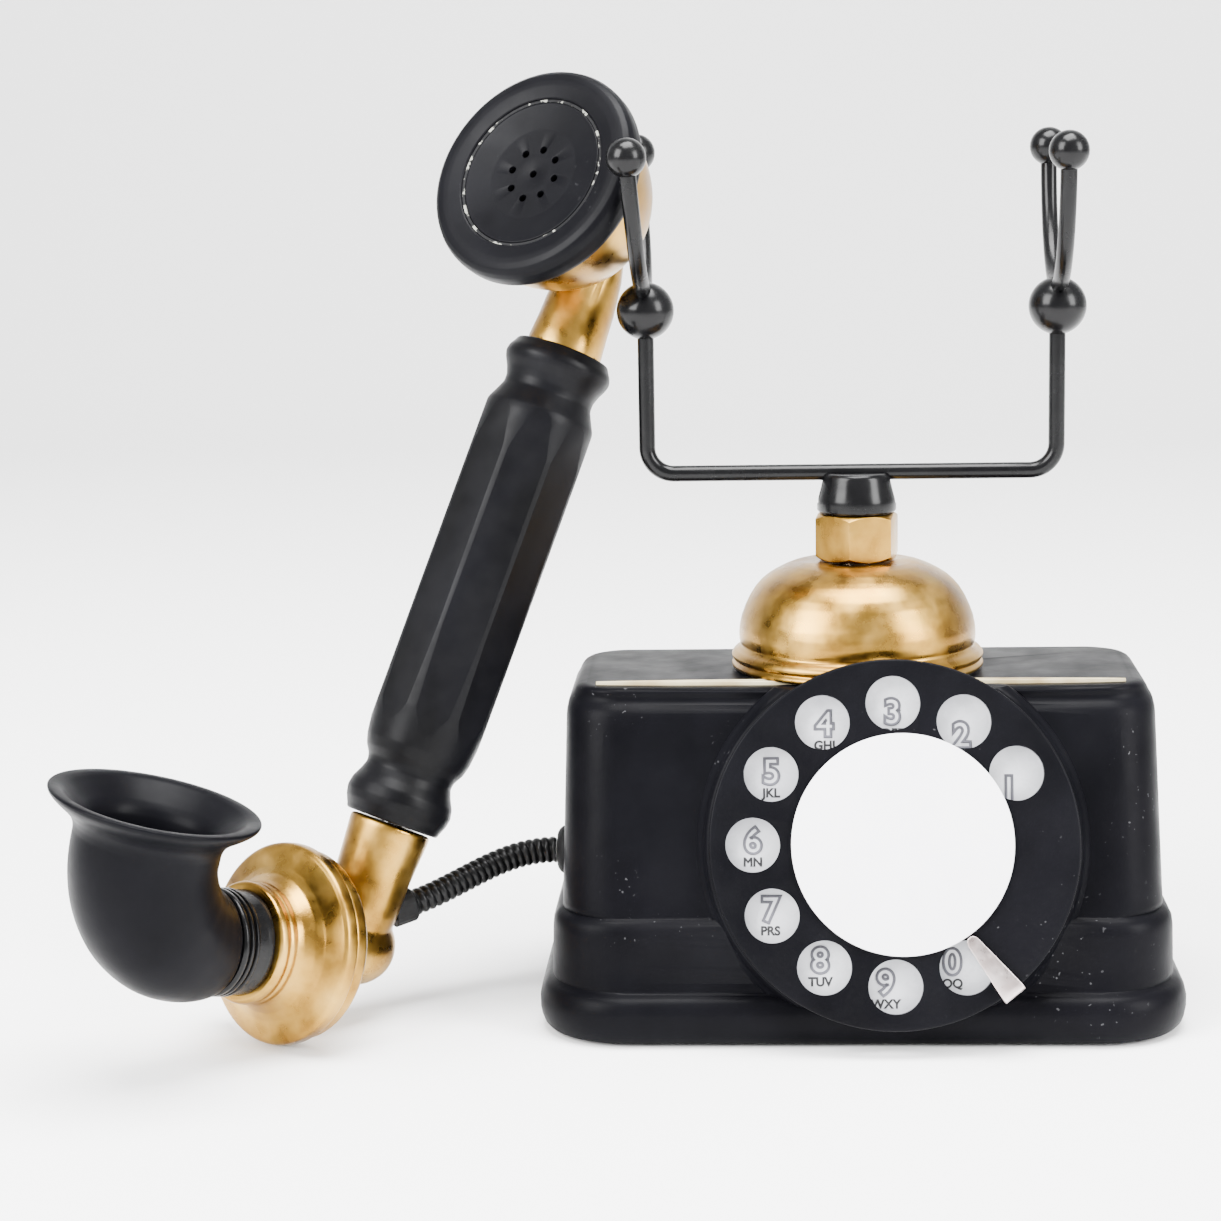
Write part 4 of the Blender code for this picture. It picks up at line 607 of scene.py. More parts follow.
def make_trim():
    """A thin gilt frame let into the top, round a dark slit."""
    place = Matrix.Translation((0, TRIM_Y, 0))
    loops = []
    outer, inner = lens_outline(118.0 * MM, 2.8 * MM), lens_outline(113.0 * MM, 1.2 * MM)
    top = BLOCK_TOP + 0.8 * MM
    for outline, z in ((outer, BLOCK_TOP - MM), (outer, top), (inner, top), (inner, BLOCK_TOP - MM)):
        loops.append([(x, y, z) for x, y in outline])
    trim = eased(skinned("top_trim_frame", loops, place, through=True), 0.15 * MM)
    placed(trim, "body", TRIM_GILT, "gilded_brass", "top_trim")
    opening = lens_outline(113.4 * MM, 1.25 * MM)
    slit = prism("top_trim_slit", opening, BLOCK_TOP - MM, BLOCK_TOP - 0.3 * MM, place)
    placed(evaluated(slit), "body", RUBBER, "rubber")


# ---- dial

BOSS_HEIGHT = 3.5 * MM
PLATE_LOW = 5.1 * MM
PLATE_HIGH = 5.9 * MM
WHEEL_LOW = 7.4 * MM
WHEEL_HIGH = 9.4 * MM
WHEEL_RADIUS = 40.4 * MM
FINGER_CIRCLE = 30.8 * MM
FIRST_HOLE = 30  # degrees, and the same between holes
BUSH_RADIUS = 2.9 * MM
STOP_ANGLE = -51.7
# Millimetres right and up that each figure, from 1 round to 0, is printed off the middle of its hole
PRINT_SHIFTS = (
    (-1.5, -3.6), (-0.4, -3.0), (0.0, -2.0), (0.5, -0.5), (0.0, 0.4), (0.0, 0.7), (-0.4, 1.1), (-0.9, 1.3),
    (-2.1, 0.6), (-3.0, 0.9),
)


def lettering(text, height, place, material, outline=False):
    """One word on the number plate; outline draws it hollow, in a fine raised line."""
    data = bpy.data.curves.new(f"print_{text}", "FONT")
    data.body = text
    data.size = height / 0.70  # a capital is 0.70 of the font's size
    data.align_x = "CENTER"
    data.align_y = "CENTER"
    if outline:
        data.fill_mode = "NONE"
        data.bevel_depth = 0.31 * MM
        data.bevel_resolution = 1
        data.offset = 0.30 * MM
    else:
        data.extrude = 0.02 * MM
        data.bevel_depth = 0.10 * MM
        data.bevel_resolution = 0
    made = evaluated(link(f"plate_print_{text}", data, DIAL_MATRIX @ Matrix.Translation(place)))
    placed(made, "body", material, "ivory_enamel")


def hole_middle(index):
    """Where a finger hole is on the dial: right of its middle, and up."""
    angle = math.radians(FIRST_HOLE * (index + 1))
    return FINGER_CIRCLE * math.cos(angle), FINGER_CIRCLE * math.sin(angle)


def dial_ring(name, radius, low, high, soft, steps):
    """A soft-edged disc with a hole for the bush."""
    profile = [(BUSH_RADIUS, high), (radius, high), (radius, low), (BUSH_RADIUS, low)]
    return turned(name, softened(profile, soft, True), DIAL_MATRIX, steps, closed=True)


def make_number_plate():
    """The fixed white plate that shows through the finger holes, with its figures and letters."""
    plate = dial_ring("number_plate_face", 37.2 * MM, PLATE_LOW, PLATE_HIGH, 0.25 * MM, 128)
    placed(plate, "body", PLATE_GREY_PAINTED_SHADE, "ivory_enamel", "number_plate")
    words = ("", "ABC", "DEF", "GHI", "JKL", "MN", "PRS", "TUV", "WXY", "OQ")
    for index, word in enumerate(words):
        x, y = hole_middle(index)
        x += PRINT_SHIFTS[index][0] * MM
        y += PRINT_SHIFTS[index][1] * MM
        digit = str((index + 1) % 10)
        lettering(digit, 5.2 * MM, (x, y, PLATE_HIGH + 0.02 * MM), DIGIT_GREY, outline=True)
        if word:
            lettering(word, 1.9 * MM, (x, y - 4.5 * MM, PLATE_HIGH + 0.03 * MM), LETTER_BLACK)


def make_dial():
    """The wheel, punched with ten finger holes, and the card at its middle."""
    wheel = dial_ring("finger_wheel_disc", WHEEL_RADIUS, WHEEL_LOW, WHEEL_HIGH, 0.5 * MM, 144)
    punches = []
    for hole in range(10):
        place = DIAL_MATRIX @ Matrix.Translation((*hole_middle(hole), 0))
        punches.append(cylinder(f"punch_{hole}", 5.95 * MM, WHEEL_LOW - MM, WHEEL_HIGH + MM, place, 56))
    wheel = eased(cut(wheel, *punches), 0.3 * MM, 50, 3)
    placed(wheel, "dial", DIAL_PAINT, "black_paint", "finger_wheel")
    low, radius = WHEEL_HIGH + GAP, 24.2 * MM
    high = low + 0.6 * MM
    card = [(0, high), (radius, high), (radius, low), (0, low)]
    card_place = DIAL_MATRIX @ Matrix.Translation((1.8 * MM, 0, 0))
    card = turned("centre_label_card", softened(card, 0.25 * MM), card_place, 128)
    placed(card, "dial", CARD_WHITE, "card", "centre_label")


def make_finger_stop():
    """A bent blade that stands on the boss, clears the wheel's rim and reaches in over its face."""
    thick = 0.9 * MM
    blade_low = WHEEL_HIGH + 1.0 * MM
    rim = WHEEL_RADIUS + 1.3 * MM
    foot = BOSS_HEIGHT + GAP
    # Distance out, height, half width in millimetres, and how far it has bent over, from 0 to 1
    stations = (
        (rim - thick, foot, 2.7, 0.0), (rim - thick, blade_low - 0.6 * MM, 2.7, 0.0),
        (rim - thick - 0.12 * MM, blade_low - 0.25 * MM, 2.7, 0.25),
        (rim - thick - 0.4 * MM, blade_low, 2.7, 0.55),
        (rim - thick - 1.2 * MM, blade_low, 2.65, 1.0), (27.2 * MM, blade_low, 1.45, 1.0),
        (26.4 * MM, blade_low, 1.25, 1.0), (25.9 * MM, blade_low, 0.9, 1.0), (25.6 * MM, blade_low, 0.4, 1.0),
    )
    rings = []
    for out, low, half, flat in stations:
        turn = math.radians(90 * flat)
        over = Vector((math.cos(turn) * thick, 0, math.sin(turn) * thick))
        side = Vector((0, half * MM, 0))
        under = Vector((out, 0, low))
        rings.append([under - side, under + side, under + over + side, under + over - side])
    place = DIAL_MATRIX @ Matrix.Rotation(math.radians(STOP_ANGLE), 4, "Z")
    stop = eased(skinned("finger_stop_blade", rings, place), 0.18 * MM)
    placed(stop, "body", STOP_SILVER, "steel", "finger_stop")


# ---- bell and cradle

BELL_BASE = 77.6 * MM
GONG_CROWN = BELL_BASE + 24.2 * MM
NUT_LOW = GONG_CROWN + GAP
NUT_HIGH = NUT_LOW + 10.7 * MM
GUIDE_LOW = NUT_HIGH + GAP
BAR = GUIDE_LOW + 8.9 * MM
ARM_LEFT, ARM_RIGHT = -47.5 * MM, 45.1 * MM
BALL_HEIGHT = 37.1 * MM
WIRE_RADIUS = 1.85 * MM
BEND_RADIUS = 6 * MM
FORK_SPREAD = 24.6 * MM
FORK_HEIGHT = 30.5 * MM
# The gong's outside: radius and drop under its crown, in millimetres
GONG = (
    (8.2, 0.0), (12.6, 0.05), (14.9, 0.6), (16.9, 1.4), (19.0, 2.5), (20.6, 3.5), (22.0, 4.7), (23.3, 6.2),
    (24.5, 8.1), (25.6, 10.4), (26.4, 12.6), (26.85, 14.8), (27.0, 16.6), (26.9, 18.2), (26.65, 19.0),
    (27.1, 19.7), (28.0, 20.2), (28.6, 20.9), (28.75, 21.5), (28.45, 22.1), (28.1, 22.4), (28.4, 22.8),
    (28.75, 23.3), (28.65, 23.9), (28.3, 24.2),
)


def make_gong():
    """A spun gong: a plain dome over a bead and a rolled lip, open below."""
    outside = [(r * MM, GONG_CROWN - drop * MM) for r, drop in GONG]
    inside = [(r * MM - 1.7 * MM, GONG_CROWN - drop * MM - 1.2 * MM) for r, drop in GONG[1:14]]
    profile = [(POST_BORE, GONG_CROWN)] + outside + [(25.6 * MM, BELL_BASE)] + inside[::-1]
    profile += [(POST_BORE, GONG_CROWN - 1.5 * MM)]
    gong = turned("bell_gong_spun", softened(profile, 0.4 * MM, True, 2), None, 160, closed=True)
    placed(gong, "body", GOLD_BELL, "gilded_brass", "bell_gong")


def make_nut():
    """A hexagon nut on the gong, with both ends turned off round its corners."""
    nut = prism("bell_nut_hexagon", polygon(6, 10 * MM, -101), NUT_LOW, NUT_HIGH)
    chamfer = ((7.6 * MM, 1.0 * MM), (8.4 * MM, 0), (10.1 * MM, -1.2 * MM))
    crown = [(0, NUT_HIGH + MM)] + [(r, NUT_HIGH + out) for r, out in chamfer]
    crown += [(r, NUT_LOW - out) for r, out in reversed(chamfer)] + [(0, NUT_LOW - MM)]
    nut = joined(nut, turned("nut_chamfer", crown, None, 64), operation="INTERSECT")
    nut = cut(nut, cylinder("nut_bore", POST_BORE, NUT_LOW - 2 * MM, NUT_HIGH + 2 * MM))
    placed(eased(nut, 0.45 * MM, 20, 4), "body", GOLD_BELL, "gilded_brass", "bell_nut")


def make_guide():
    """The enamelled cap on the nut, slotted so that the cradle's wire can go down in it."""
    profile = [
        (0, BAR), (7.1 * MM, BAR), (7.7 * MM, BAR - 0.7 * MM), (8.3 * MM, GUIDE_LOW + 5.4 * MM),
        (9.0 * MM, GUIDE_LOW + 2.6 * MM), (9.0 * MM, GUIDE_LOW), (0, GUIDE_LOW),
    ]
    guide = turned("cradle_guide_cap", softened(profile, 0.6 * MM), None, 96)
    floor = BAR - WIRE_RADIUS - 5.4 * MM
    slot = block("guide_slot", (-20 * MM, -2.25 * MM, floor), (20 * MM, 2.25 * MM, BAR + 10 * MM))
    guide = cut(guide, slot, cylinder("guide_bore", 2.6 * MM, GUIDE_LOW - MM, BAR + MM))
    placed(eased(guide, 0.35 * MM, 30), "body", ENAMEL, "black_enamel", "cradle_guide")


def bent(corners, radius):
    """The line through the corners, with each corner rounded to radius."""
    steps = 14
    points = [Vector(corners[0])]
    for before, corner, after in zip(corners, corners[1:], corners[2:]):
        corner = Vector(corner)
        back, onward = (Vector(before) - corner).normalized(), (Vector(after) - corner).normalized()
        half = back.angle(onward) / 2
        centre = corner + (back + onward).normalized() * (radius / math.sin(half))
        start = (corner + back * radius / math.tan(half) - centre).normalized()
        end = (corner + onward * radius / math.tan(half) - centre).normalized()
        points += [centre + radius * start.slerp(end, i / steps) for i in range(steps + 1)]
    return points + [Vector(corners[-1])]


def make_fork(side, x, lean):
    """A ball on the cradle's arm and a wire that curves up from it to a knob at each end."""
    centre = Vector((x, 0, BAR + BALL_HEIGHT))
    ball = sphere(f"cradle_knuckle_{side}", 6.5 * MM, centre)
    placed(ball, "cradle", ENAMEL, "black_enamel", f"cradle_ball_{side}")
    foot = Matrix.Translation(centre) @ Matrix.Rotation(math.radians(lean), 4, "Y")
    foot = foot @ Matrix.Translation((0, 0, 4.4 * MM))
    reach, steps = math.radians(84), 36
    points = []
    for i in range(-steps, steps + 1):
        angle = reach * i / steps
        points.append((0, FORK_SPREAD * math.sin(angle), FORK_HEIGHT * (1 - math.cos(angle))))
    wire = rod(f"fork_wire_{side}", points, WIRE_RADIUS, foot)
    placed(wire, "cradle", ENAMEL, "black_enamel", f"fork_{side}")
    for end, sign in (("front", -1), ("rear", 1)):
        tip_centre = foot @ Vector((0, sign * FORK_SPREAD, FORK_HEIGHT))
        tip = sphere(f"fork_knob_{side}_{end}", 4.4 * MM, tip_centre, 32)
        placed(tip, "cradle", ENAMEL, "black_enamel", f"fork_tip_{side}_{end}")


def make_cradle():
    """One wire bent to a square U, with a fork on each end."""
    arm = BAR + BALL_HEIGHT - 4 * MM
    corners = [(ARM_LEFT, 0, arm), (ARM_LEFT, 0, BAR), (ARM_RIGHT, 0, BAR), (ARM_RIGHT, 0, arm)]
    wire = rod("cradle_wire", bent(corners, BEND_RADIUS), WIRE_RADIUS)
    placed(wire, "cradle", ENAMEL, "black_enamel", "cradle_frame")
    make_fork("left", ARM_LEFT, -4.3)
    make_fork("right", ARM_RIGHT, 0.0)


def make_plunger_spring():
    """The coil on the bracket, under the plunger's collar, drawn at one length; the real one shortens as the
    cradle goes down.
    """
    seat, top, wire, radius = 50.3 * MM, 60.0 * MM, 0.4 * MM, 3.9 * MM
    low, high = seat + wire, top - wire
    turns, steps = 5, 24
    points = []
    for i in range(turns * steps + 1):
        angle = 2 * math.pi * i / steps
        height = low + (high - low) * i / (turns * steps)
        points.append((radius * math.cos(angle), radius * math.sin(angle), height))
    spring = rod("plunger_coil_spring", points, wire)
    placed(spring, "body", SPRUNG, "spring_steel", "plunger_spring")
    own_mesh(spring)


# ---- handset

HANDSET_FOOT = Vector((-116.5, -24.1, 18.0)) * MM
HANDSET_TOP = Vector((-57.3, 19.0, 174.8)) * MM
AXIS = (HANDSET_TOP - HANDSET_FOOT).normalized()
RECEIVER_NORMAL = Vector((-0.442, -0.762, 0.473))
TRANSMITTER_NORMAL = Vector((-0.614, -0.753, 0.235))
GRIP_MATRIX = frame_at(HANDSET_FOOT, AXIS, TRANSMITTER_NORMAL)
EAR_MATRIX = frame_at(HANDSET_TOP, RECEIVER_NORMAL, AXIS)
MOUTH_MATRIX = frame_at(HANDSET_FOOT, TRANSMITTER_NORMAL, AXIS)
# From here on, the handset's profiles are in millimetres: radius, and height on their own axis.
GRIP_START, GRIP_END = 29.5, 144.5
NECK = 8.4
SCREW_HOLE = 2.8 * MM


def make_grip():
    """A turned wooden grip, beaded at both ends and planed to eight flats between."""
    # Distance in from the grip's end, and radius
    upper = (
        (0.0, 10.9), (1.0, 11.4), (2.4, 12.3), (3.8, 12.6), (5.2, 12.2), (7.2, 11.2), (9.2, 10.55),
        (11.0, 10.6), (13.2, 11.6), (15.4, 12.7), (17.0, 13.0), (19.0, 13.1),
    )
    lower = (
        (20.0, 12.6), (17.6, 12.3), (15.2, 11.6), (13.2, 10.4), (11.6, 10.1), (9.6, 10.8), (7.2, 12.0),
        (5.0, 12.4), (3.0, 12.0), (1.2, 11.2), (0.0, 10.8),
    )
    profile = [(0, GRIP_END)] + [(r, GRIP_END - inset) for inset, r in upper]
    profile += [(13.6, 118), (13.65, 75), (13.4, 56)]
    profile += [(r, GRIP_START + inset) for inset, r in lower] + [(0, GRIP_START)]
    grip = turned("grip_turned", millimetres(softened(profile, 0.5)), GRIP_MATRIX, 96)
    outline = polygon(8, 12.8 * MM / math.cos(math.radians(22.5)), 22.5)
    flats = prism("grip_flats", outline, 20 * MM, 152 * MM, GRIP_MATRIX)
    grip = joined(grip, flats, operation="INTERSECT")
    grip = cut(grip, cylinder("grip_bore", 4 * MM, 20 * MM, 152 * MM, GRIP_MATRIX))
    placed(eased(grip, 1.5 * MM, 14, 4), "handset", WOOD, "black_lacquer", "handle")


def make_receiver():
    """A cast bowl on its neck, open to the front where the capsule sits."""
    length = (HANDSET_TOP - HANDSET_FOOT).length / MM
    angles = [math.radians(3 * a) for a in range(30)]
    shell = [(0, 15.1), (17.5, 15.1), (17.5, 27.3), (21.6, 27.3)]
    shell += [(22.3 * math.cos(a), 26.7 - 28.2 * math.sin(a)) for a in angles] + [(0, -1.5)]
    shell = turned("receiver_bowl", millimetres(shell), EAR_MATRIX, 96)
    neck = [
        (0, length + 1), (NECK * 0.55, length + 1), (NECK * 0.66, length - 2), (NECK * 0.86, length - 9),
        (NECK * 0.97, length - 17), (NECK, length - 22), (NECK * 1.05, GRIP_END + 1.5),
        (NECK * 1.05, GRIP_END + 0.3), (0, GRIP_END + 0.3),
    ]
    shell = joined(shell, turned("upper_neck", millimetres(neck), GRIP_MATRIX, 96))
    socket_low, socket_high = (GRIP_END - 2) * MM, (GRIP_END + 8.3) * MM
    shell = cut(shell, cylinder("upper_socket", SCREW_HOLE, socket_low, socket_high, GRIP_MATRIX))
    placed(eased(shell, 0.8 * MM, 40), "handset", GOLD_HANDSET, "gilded_brass", "receiver_shell")


def make_ear_cap():
    """A turned cap with a dished face, nine sound holes and a chipped groove near its rim."""
    front, back, radius = 34.6, 27.6, 25.6
    groove = 0.69 * radius
    cap = [
        (0, front - 1.9), (5, front - 1.9), (11, front - 1.7), (groove - 1.2, front - 0.9),
        (groove - 0.5, front - 0.75), (groove - 0.35, front - 1.25), (groove + 0.35, front - 1.2),
        (groove + 0.5, front - 0.5), (radius - 4.4, front - 0.02), (radius - 3.0, front),
        (radius - 1.6, front - 0.3), (radius - 0.6, front - 1.1), (radius - 0.1, front - 2.3),
        (radius, front - 3.4), (radius - 0.1, back + 1.6), (radius - 0.5, back + 0.5), (radius - 1.2, back),
        (0, back),
    ]
    ear_cap = turned("ear_cap_turned", millimetres(softened(cap, 0.3)), EAR_MATRIX, 128)
    drills = []
    for hole, (x, y) in enumerate(polygon(8, 6 * MM, 0) + [(0, 0)]):
        place = EAR_MATRIX @ Matrix.Translation((x, y, 0))
        drills.append(cylinder(f"ear_drill_{hole}", 0.9 * MM, (back - 1) * MM, (front + 1) * MM, place, 24))
    ear_cap = eased(cut(ear_cap, *drills), 0.15 * MM, 45, 2)
    placed(ear_cap, "handset", EAR_PAINT, "black_paint", "ear_cap")
    ring = [
        (groove - 0.3, front - 0.98), (groove + 0.3, front - 0.93), (groove + 0.3, front - 1.3),
        (groove - 0.3, front - 1.3),
    ]
    ring = turned("ear_cap_chipped_groove", millimetres(ring), EAR_MATRIX, 128, closed=True)
    placed(ring, "handset", CHIPPED_PAINT, "black_paint")


def make_yoke():
    """The lower casting: a neck and a round barrel, melted into one."""
    neck = [
        (0, 29.2), (NECK * 1.13, 29.2), (NECK * 1.12, 27.4), (NECK * 1.06, 21), (NECK * 1.03, 17),
        (NECK * 1.03, 9), (NECK * 0.95, 3.5), (NECK * 0.97, -3), (0, -3),
    ]
    yoke = turned("lower_neck", millimetres(softened(neck, 0.8)), GRIP_MATRIX, 96)
    barrel = [
        (0, 12.9), (9.3, 12.9), (9.3, 2), (9.25, -1.5), (8.9, -4.4), (8.0, -7.2), (6.3, -9.4),
        (4.0, -10.8), (0, -11.5),
    ]
    yoke = joined(yoke, turned("yoke_barrel", millimetres(softened(barrel, 1.2)), MOUTH_MATRIX, 96))
    yoke = flowed(yoke, 0.45 * MM, 7)
    yoke = cut(
        yoke,
        cylinder("outlet_socket", 4.3 * MM, 9 * MM, 29 * MM, outlet_matrix()),
        cylinder("lower_socket", SCREW_HOLE, 21.2 * MM, 31.5 * MM, GRIP_MATRIX),
    )
    placed(yoke, "handset", GOLD_HANDSET, "gilded_brass", "lower_yoke")


THROAT = 7.5  # radius of the sound's way through the transmitter's front and the collar


def mouth_turning(name, profile, soft, steps=128, rounding=3):
    """A hollow turned piece on the transmitter's axis."""
    profile = millimetres(softened(profile, soft, True, rounding))
    return turned(name, profile, MOUTH_MATRIX, steps, closed=True)


def make_transmitter():
    """A shallow cup and the stepped disc that closes it."""
    case = [
        (17.5, 17.5), (20.9, 17.5), (21.3, 17.0), (21.3, 14.6), (20.6, 13.6), (19.4, 13.2), (4, 13.2),
        (4, 14.8), (17.5, 14.8),
    ]
    case = mouth_turning("transmitter_cup", case, 0.4)
    placed(case, "handset", GOLD_HANDSET, "gilded_brass", "transmitter_case")
    disc = [
        (THROAT, 32.4), (12.8, 32.4), (13.4, 31.9), (13.6, 30.6), (13.2, 29.6), (13.5, 28.8), (13.4, 27.6),
        (14.0, 26.2), (15.4, 24.2), (17.2, 23.1), (19.0, 22.5), (21.6, 21.6), (22.3, 21.0), (22.45, 20.2),
        (22.45, 18.4), (22.0, 17.9), (17.5, 17.8), (17.5, 21.8), (THROAT, 21.8),
    ]
    disc = mouth_turning("transmitter_disc", disc, 0.35)
    placed(disc, "handset", GOLD_HANDSET, "gilded_brass", "transmitter_front")


def make_collar():
    """A black collar with three proud threads next to the horn."""
    low, high, radius = 32.7, 41.5, 11.9
    collar = [(THROAT, high), (radius - 0.4, high)]
    for thread in range(3):
        centre = high - 1.0 - 1.5 * thread
        collar += [(radius, centre + 0.35), (radius, centre - 0.35)]
        collar += [(radius - 0.7, centre - 0.6), (radius - 0.7, centre - 0.9)]
    collar += [(radius - 0.5, low + 1.6), (radius - 0.2, low), (THROAT, low)]
    collar = mouth_turning("horn_collar_threaded", collar, 0.15, 96, 2)
    placed(collar, "handset", ENAMEL, "black_lacquer", "horn_collar")


HORN_START = 41.8
HORN_STRAIGHT = 3.0
HORN_BEND = 20.0
HORN_TURN = math.radians(86)
HORN_LEAN = math.radians(4.4)
HORN_RISE = 11.7
HORN_LENGTH = HORN_STRAIGHT + HORN_BEND * HORN_TURN + HORN_RISE
# Millimetres left to the rim, outer and inner radius
HORN_SWELL = (
    (44.8, 11.9, 7.5), (43.5, 12.3, 8.8), (39.5, 13.4, 10.3), (33.5, 14.6, 11.7), (27.0, 15.4, 12.5),
    (20.0, 15.75, 12.9), (12.0, 15.85, 13.0), (8.4, 15.9, 13.1), (7.0, 16.2, 13.3), (5.6, 17.0, 13.9),
    (4.2, 18.6, 15.0), (3.0, 20.4, 16.4), (2.0, 21.7, 17.6), (1.2, 22.5, 18.7), (0.5, 22.8, 19.6),
    (0.15, 22.6, 20.4), (0.0, 22.2, 21.0),
)


def horn_station(along):
    """Centre, turn and tilt of the horn's section at a distance along it, in the mouth's frame."""
    if along < HORN_STRAIGHT:
        return Vector((0, 0, HORN_START + along)), 0.0, 0.0
    angle = min((along - HORN_STRAIGHT) / HORN_BEND, HORN_TURN)
    height = HORN_START + HORN_STRAIGHT + HORN_BEND * math.sin(angle)
    centre = Vector((0, HORN_BEND * (1 - math.cos(angle)), height))
    extra = max(along - HORN_STRAIGHT - HORN_BEND * HORN_TURN, 0)
    tilt = HORN_LEAN * angle / HORN_TURN
    up = Vector((math.sin(tilt), math.cos(tilt) * math.sin(angle), math.cos(tilt) * math.cos(angle)))
    return centre + extra * up, angle, tilt


def horn_radii(left):
    """The horn's outer and inner radius where so many millimetres are left to its rim."""
    radii = HORN_SWELL[0][1:]
    for (a, out_a, in_a), (b, out_b, in_b) in zip(HORN_SWELL, HORN_SWELL[1:]):
        if b <= left <= a:
            t = (a - left) / (a - b)
            radii = (out_a + (out_b - out_a) * t, in_a + (in_b - in_a) * t)
    return radii


def make_horn():
    """The speaking horn: it swells, turns upwards and flares to a thin rolled rim."""
    stations = [HORN_LENGTH * (1 - i / 30) for i in range(25)]
    stations += [8.4, 7.7, 7.0, 6.3, 5.6, 4.9, 4.2, 3.6, 3.0, 2.5, 2.0, 1.6, 1.2, 0.8, 0.5, 0.3, 0.15, 0.0]
    turns = [2 * math.pi * step / 72 for step in range(72)]
    outer, inner = [], []
    for left in stations:
        centre, angle, tilt = horn_station(HORN_LENGTH - left)
        along = Vector((0, math.sin(angle), math.cos(angle)))
        across = Vector((0, math.cos(angle), -math.sin(angle)))
        aside = math.cos(tilt) * Vector((1, 0, 0)) - math.sin(tilt) * along
        for rings, radius in zip((outer, inner), horn_radii(left)):
            ring = []
            for turn in turns:
                # The casting's lip wavers a little.
                waver = 1 + 0.006 * math.sin(2 * turn + 0.6) * min(1, 4 / (left + 1))
                outward = math.cos(turn) * aside + math.sin(turn) * across
                ring.append((centre + radius * waver * outward) * MM)
            rings.append(ring)
    horn = skinned("speaking_horn", outer + inner[::-1], MOUTH_MATRIX, through=True)
    smooth = horn.modifiers.new("round", "SUBSURF")
    smooth.levels = 1
    smooth.render_levels = 1
    placed(evaluated(horn, 60), "handset", HORN_PAINT, "black_paint", "horn")


# ---- armoured cord

CORD_RADIUS = 3.08 * MM
COIL_PITCH = 1.75 * MM
GROOVE_DEPTH = 0.55 * MM
OUTLET_DIRECTION = Vector((0.84, 0.47, 0.20))


def outlet_matrix():
    """Where the cord leaves the handset's foot; its Z points along the cord."""
    return frame_at(HANDSET_FOOT + AXIS * 5 * MM, OUTLET_DIRECTION)


def cord_route():
    """One smooth curve from the ferrule to the gland; it leaves both of them straight."""
    out = outlet_matrix().to_3x3() @ Vector((0, 0, 1))
    start = outlet_matrix() @ Vector((0, 0, 15.1 * MM))
    end = GLAND_PLACE + Vector((-3.3 * MM, 0, 0))
    pull, steps = 13 * MM, 160
    first, second = start + out * pull, end - Vector((pull, 0, 0))
    points = []
    for i in range(steps + 1):
        t = i / steps
        k = 1 - t
        points.append(k**3 * start + 3 * k * k * t * first + 3 * k * t * t * second + t**3 * end)
    return points


def make_cord():
    """A steel hose wound from one strip: each turn stands proud, in one long helix."""
    route = cord_route()
    around, gone, rings = 28, 0.0, []
    for i, point in enumerate(route):
        if i:
            gone += (point - route[i - 1]).length
        ahead = route[min(i + 1, len(route) - 1)] - route[max(i - 1, 0)]
        frame_here = frame_at(point, ahead)
        ring = []
        for step in range(around):
            angle = 2 * math.pi * step / around
            phase = (gone / COIL_PITCH - step / around) % 1.0
            ridge = math.sin(math.pi * phase) ** 0.6
            radius = CORD_RADIUS - GROOVE_DEPTH * (1 - ridge)
            ring.append(frame_here @ Vector((radius * math.cos(angle), radius * math.sin(angle), 0)))
        rings.append(ring)
    hose = evaluated(skinned("armoured_cord", rings), 60)
    finished(hose, HOSE, "braid", "handset_cord")
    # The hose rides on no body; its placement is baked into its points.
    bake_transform(hose)


def make_gland():
    """The rubber bush in the body's side that the hose goes into."""
    nose, radius, stem = 3.0, 5.6, 3.75
    gland = [
        (0, nose), (radius - 1.6, nose), (radius - 0.6, nose - 0.6), (radius, nose - 1.4),
        (radius, 0.3), (stem, 0.3), (stem, -6), (0, -6),
    ]
    gland = turned("cord_gland_bush", millimetres(softened(gland, 0.4)), GLAND_MATRIX, 64)
    placed(gland, "body", RUBBER, "rubber", "cord_gland")


# ---- CAD nodes that show as they are

PLAIN_FINISHES = (
    (PLATED, "base_plate base_screw_1 base_screw_2 base_screw_3 base_screw_4 dial_cup dial_spindle"),
    (PLATED, "bell_post plunger_rod hook_switch_bracket hook_switch_lever ringer_frame armature"),
    (PLATED, "striker_rod handle_rod"),
    (SPRUNG, "return_spring pulse_contact_leaf hook_switch_leaf"),
    (TURNED_BRASS, "dial_gear governor_pinion governor_weights"),
    (COPPER, "ringer_coil_left ringer_coil_right"),
    (BAKELITE, "pulse_contact_block hook_switch_block terminal_block"),
    (CAN_ZINC, "condenser receiver_capsule transmitter_capsule"),
    (RUBBER, "handset_cord_ferrule"),
    (FELT, "felt_pad"),
)


def finish_cad_nodes():
    for material, names in PLAIN_FINISHES:
        for name in names.split():
            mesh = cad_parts[name].data
            mesh.materials.clear()
            mesh.materials.append(material)
            mesh.shade_smooth()
            mesh.set_sharp_from_angle(angle=math.radians(35))


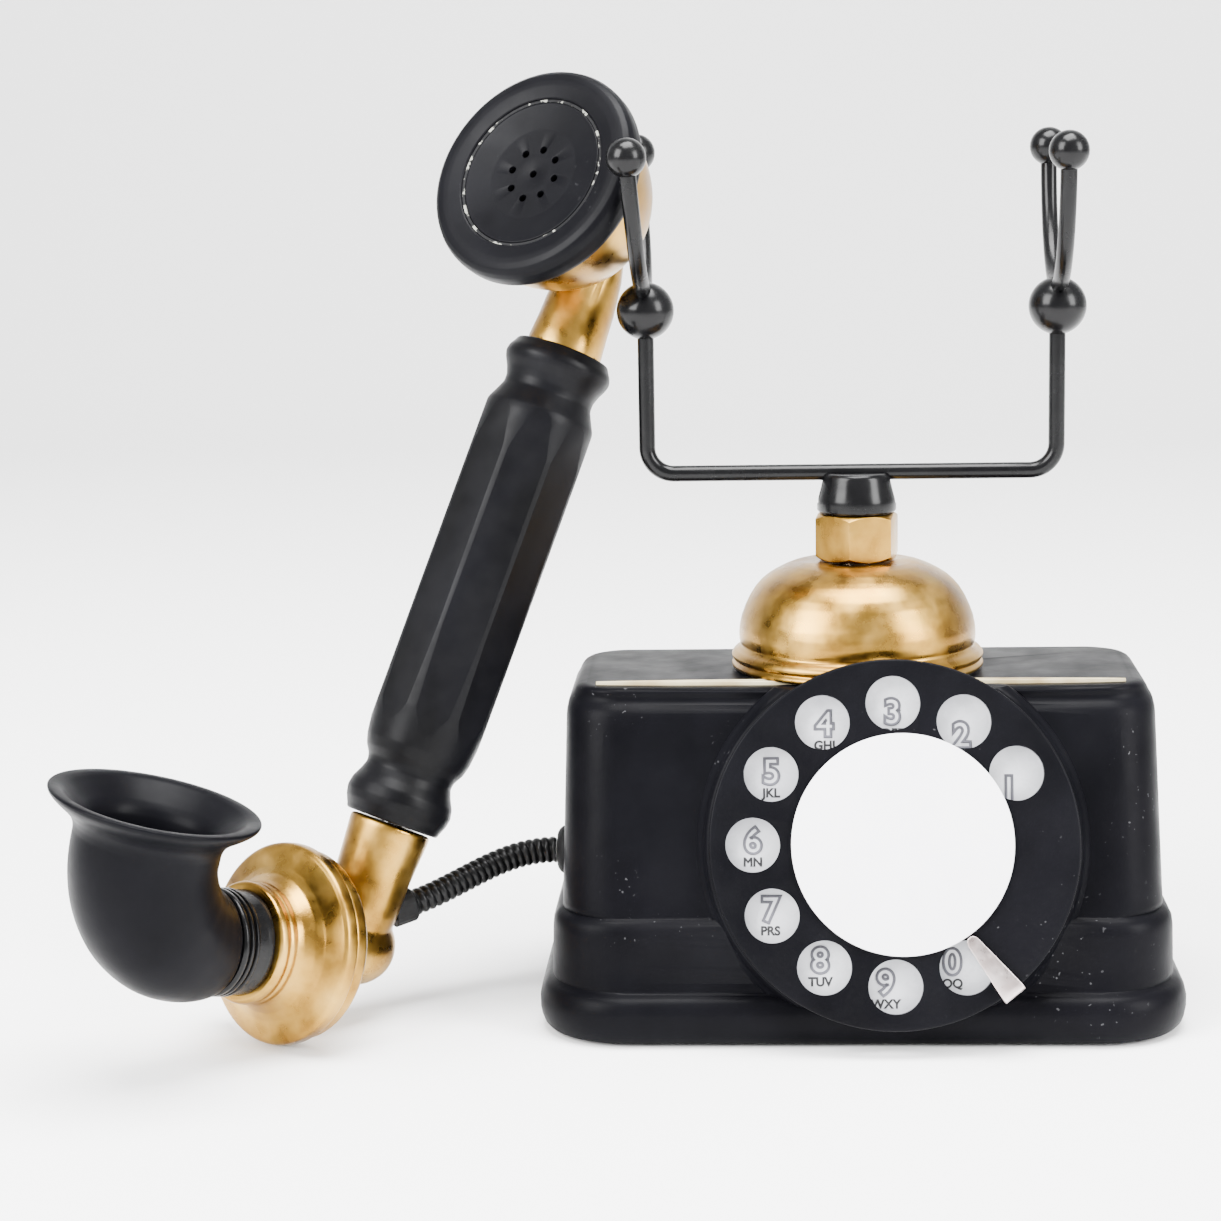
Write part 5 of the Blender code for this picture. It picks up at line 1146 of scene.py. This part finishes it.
# ---- table and light

LIT_POINT = Vector((-0.03, 0, 0.09))


def make_stage():
    """A pale sweep: a table that curves up into a wall behind."""
    front, back, curve, top, half_width = -2.5, 1.1, 0.7, 3.5, 3
    outline = [(front, 0.0)] + arc((back, curve), curve, -90, 0, 16) + [(back + curve, top)]
    bm = bmesh.new()
    left = [bm.verts.new((-half_width, y, z)) for y, z in outline]
    right = [bm.verts.new((half_width, y, z)) for y, z in outline]
    for i in range(len(outline) - 1):
        bm.faces.new((left[i], right[i], right[i + 1], left[i + 1]))
    mesh = bpy.data.meshes.new("sweep")
    bm.to_mesh(mesh)
    bm.free()
    mesh.shade_smooth()
    sweep = link("sweep", mesh)
    paper, shader = new_material("white_paper", Roughness=0.9, Specular_IOR_Level=0.1)
    shader.inputs["Base Color"].default_value = hex_colour("#fafafa")
    mesh.materials.append(paper)


def softbox(name, place, size, watts):
    """A rectangular lamp that faces the telephone."""
    data = bpy.data.lights.new(name, "AREA")
    data.shape = "RECTANGLE"
    data.size, data.size_y = size
    data.energy = watts
    light = bpy.data.objects.new(name, data)
    light.matrix_world = frame_at(Vector(place), Vector(place) - LIT_POINT)
    bpy.context.scene.collection.objects.link(light)


def light_scene():
    world = bpy.data.worlds.new("studio")
    world.use_nodes = True
    backdrop = world.node_tree.nodes["Background"]
    backdrop.inputs["Color"].default_value = (1, 1, 1, 1)
    backdrop.inputs["Strength"].default_value = 1.0
    bpy.context.scene.world = world
    softbox("softbox_left", (-0.95, -0.75, 0.75), (0.7, 0.9), 58)
    softbox("softbox_right", (1.05, -0.65, 0.6), (0.5, 0.8), 38)
    softbox("softbox_top", (0.05, -0.15, 1.25), (0.9, 0.7), 72)


make_cord()
make_gland()
make_body()
make_trim()
make_number_plate()
make_dial()
make_finger_stop()
make_gong()
make_nut()
make_guide()
make_cradle()
make_plunger_spring()
make_grip()
make_receiver()
make_ear_cap()
make_yoke()
make_transmitter()
make_collar()
make_horn()
finish_cad_nodes()
make_stage()
light_scene()
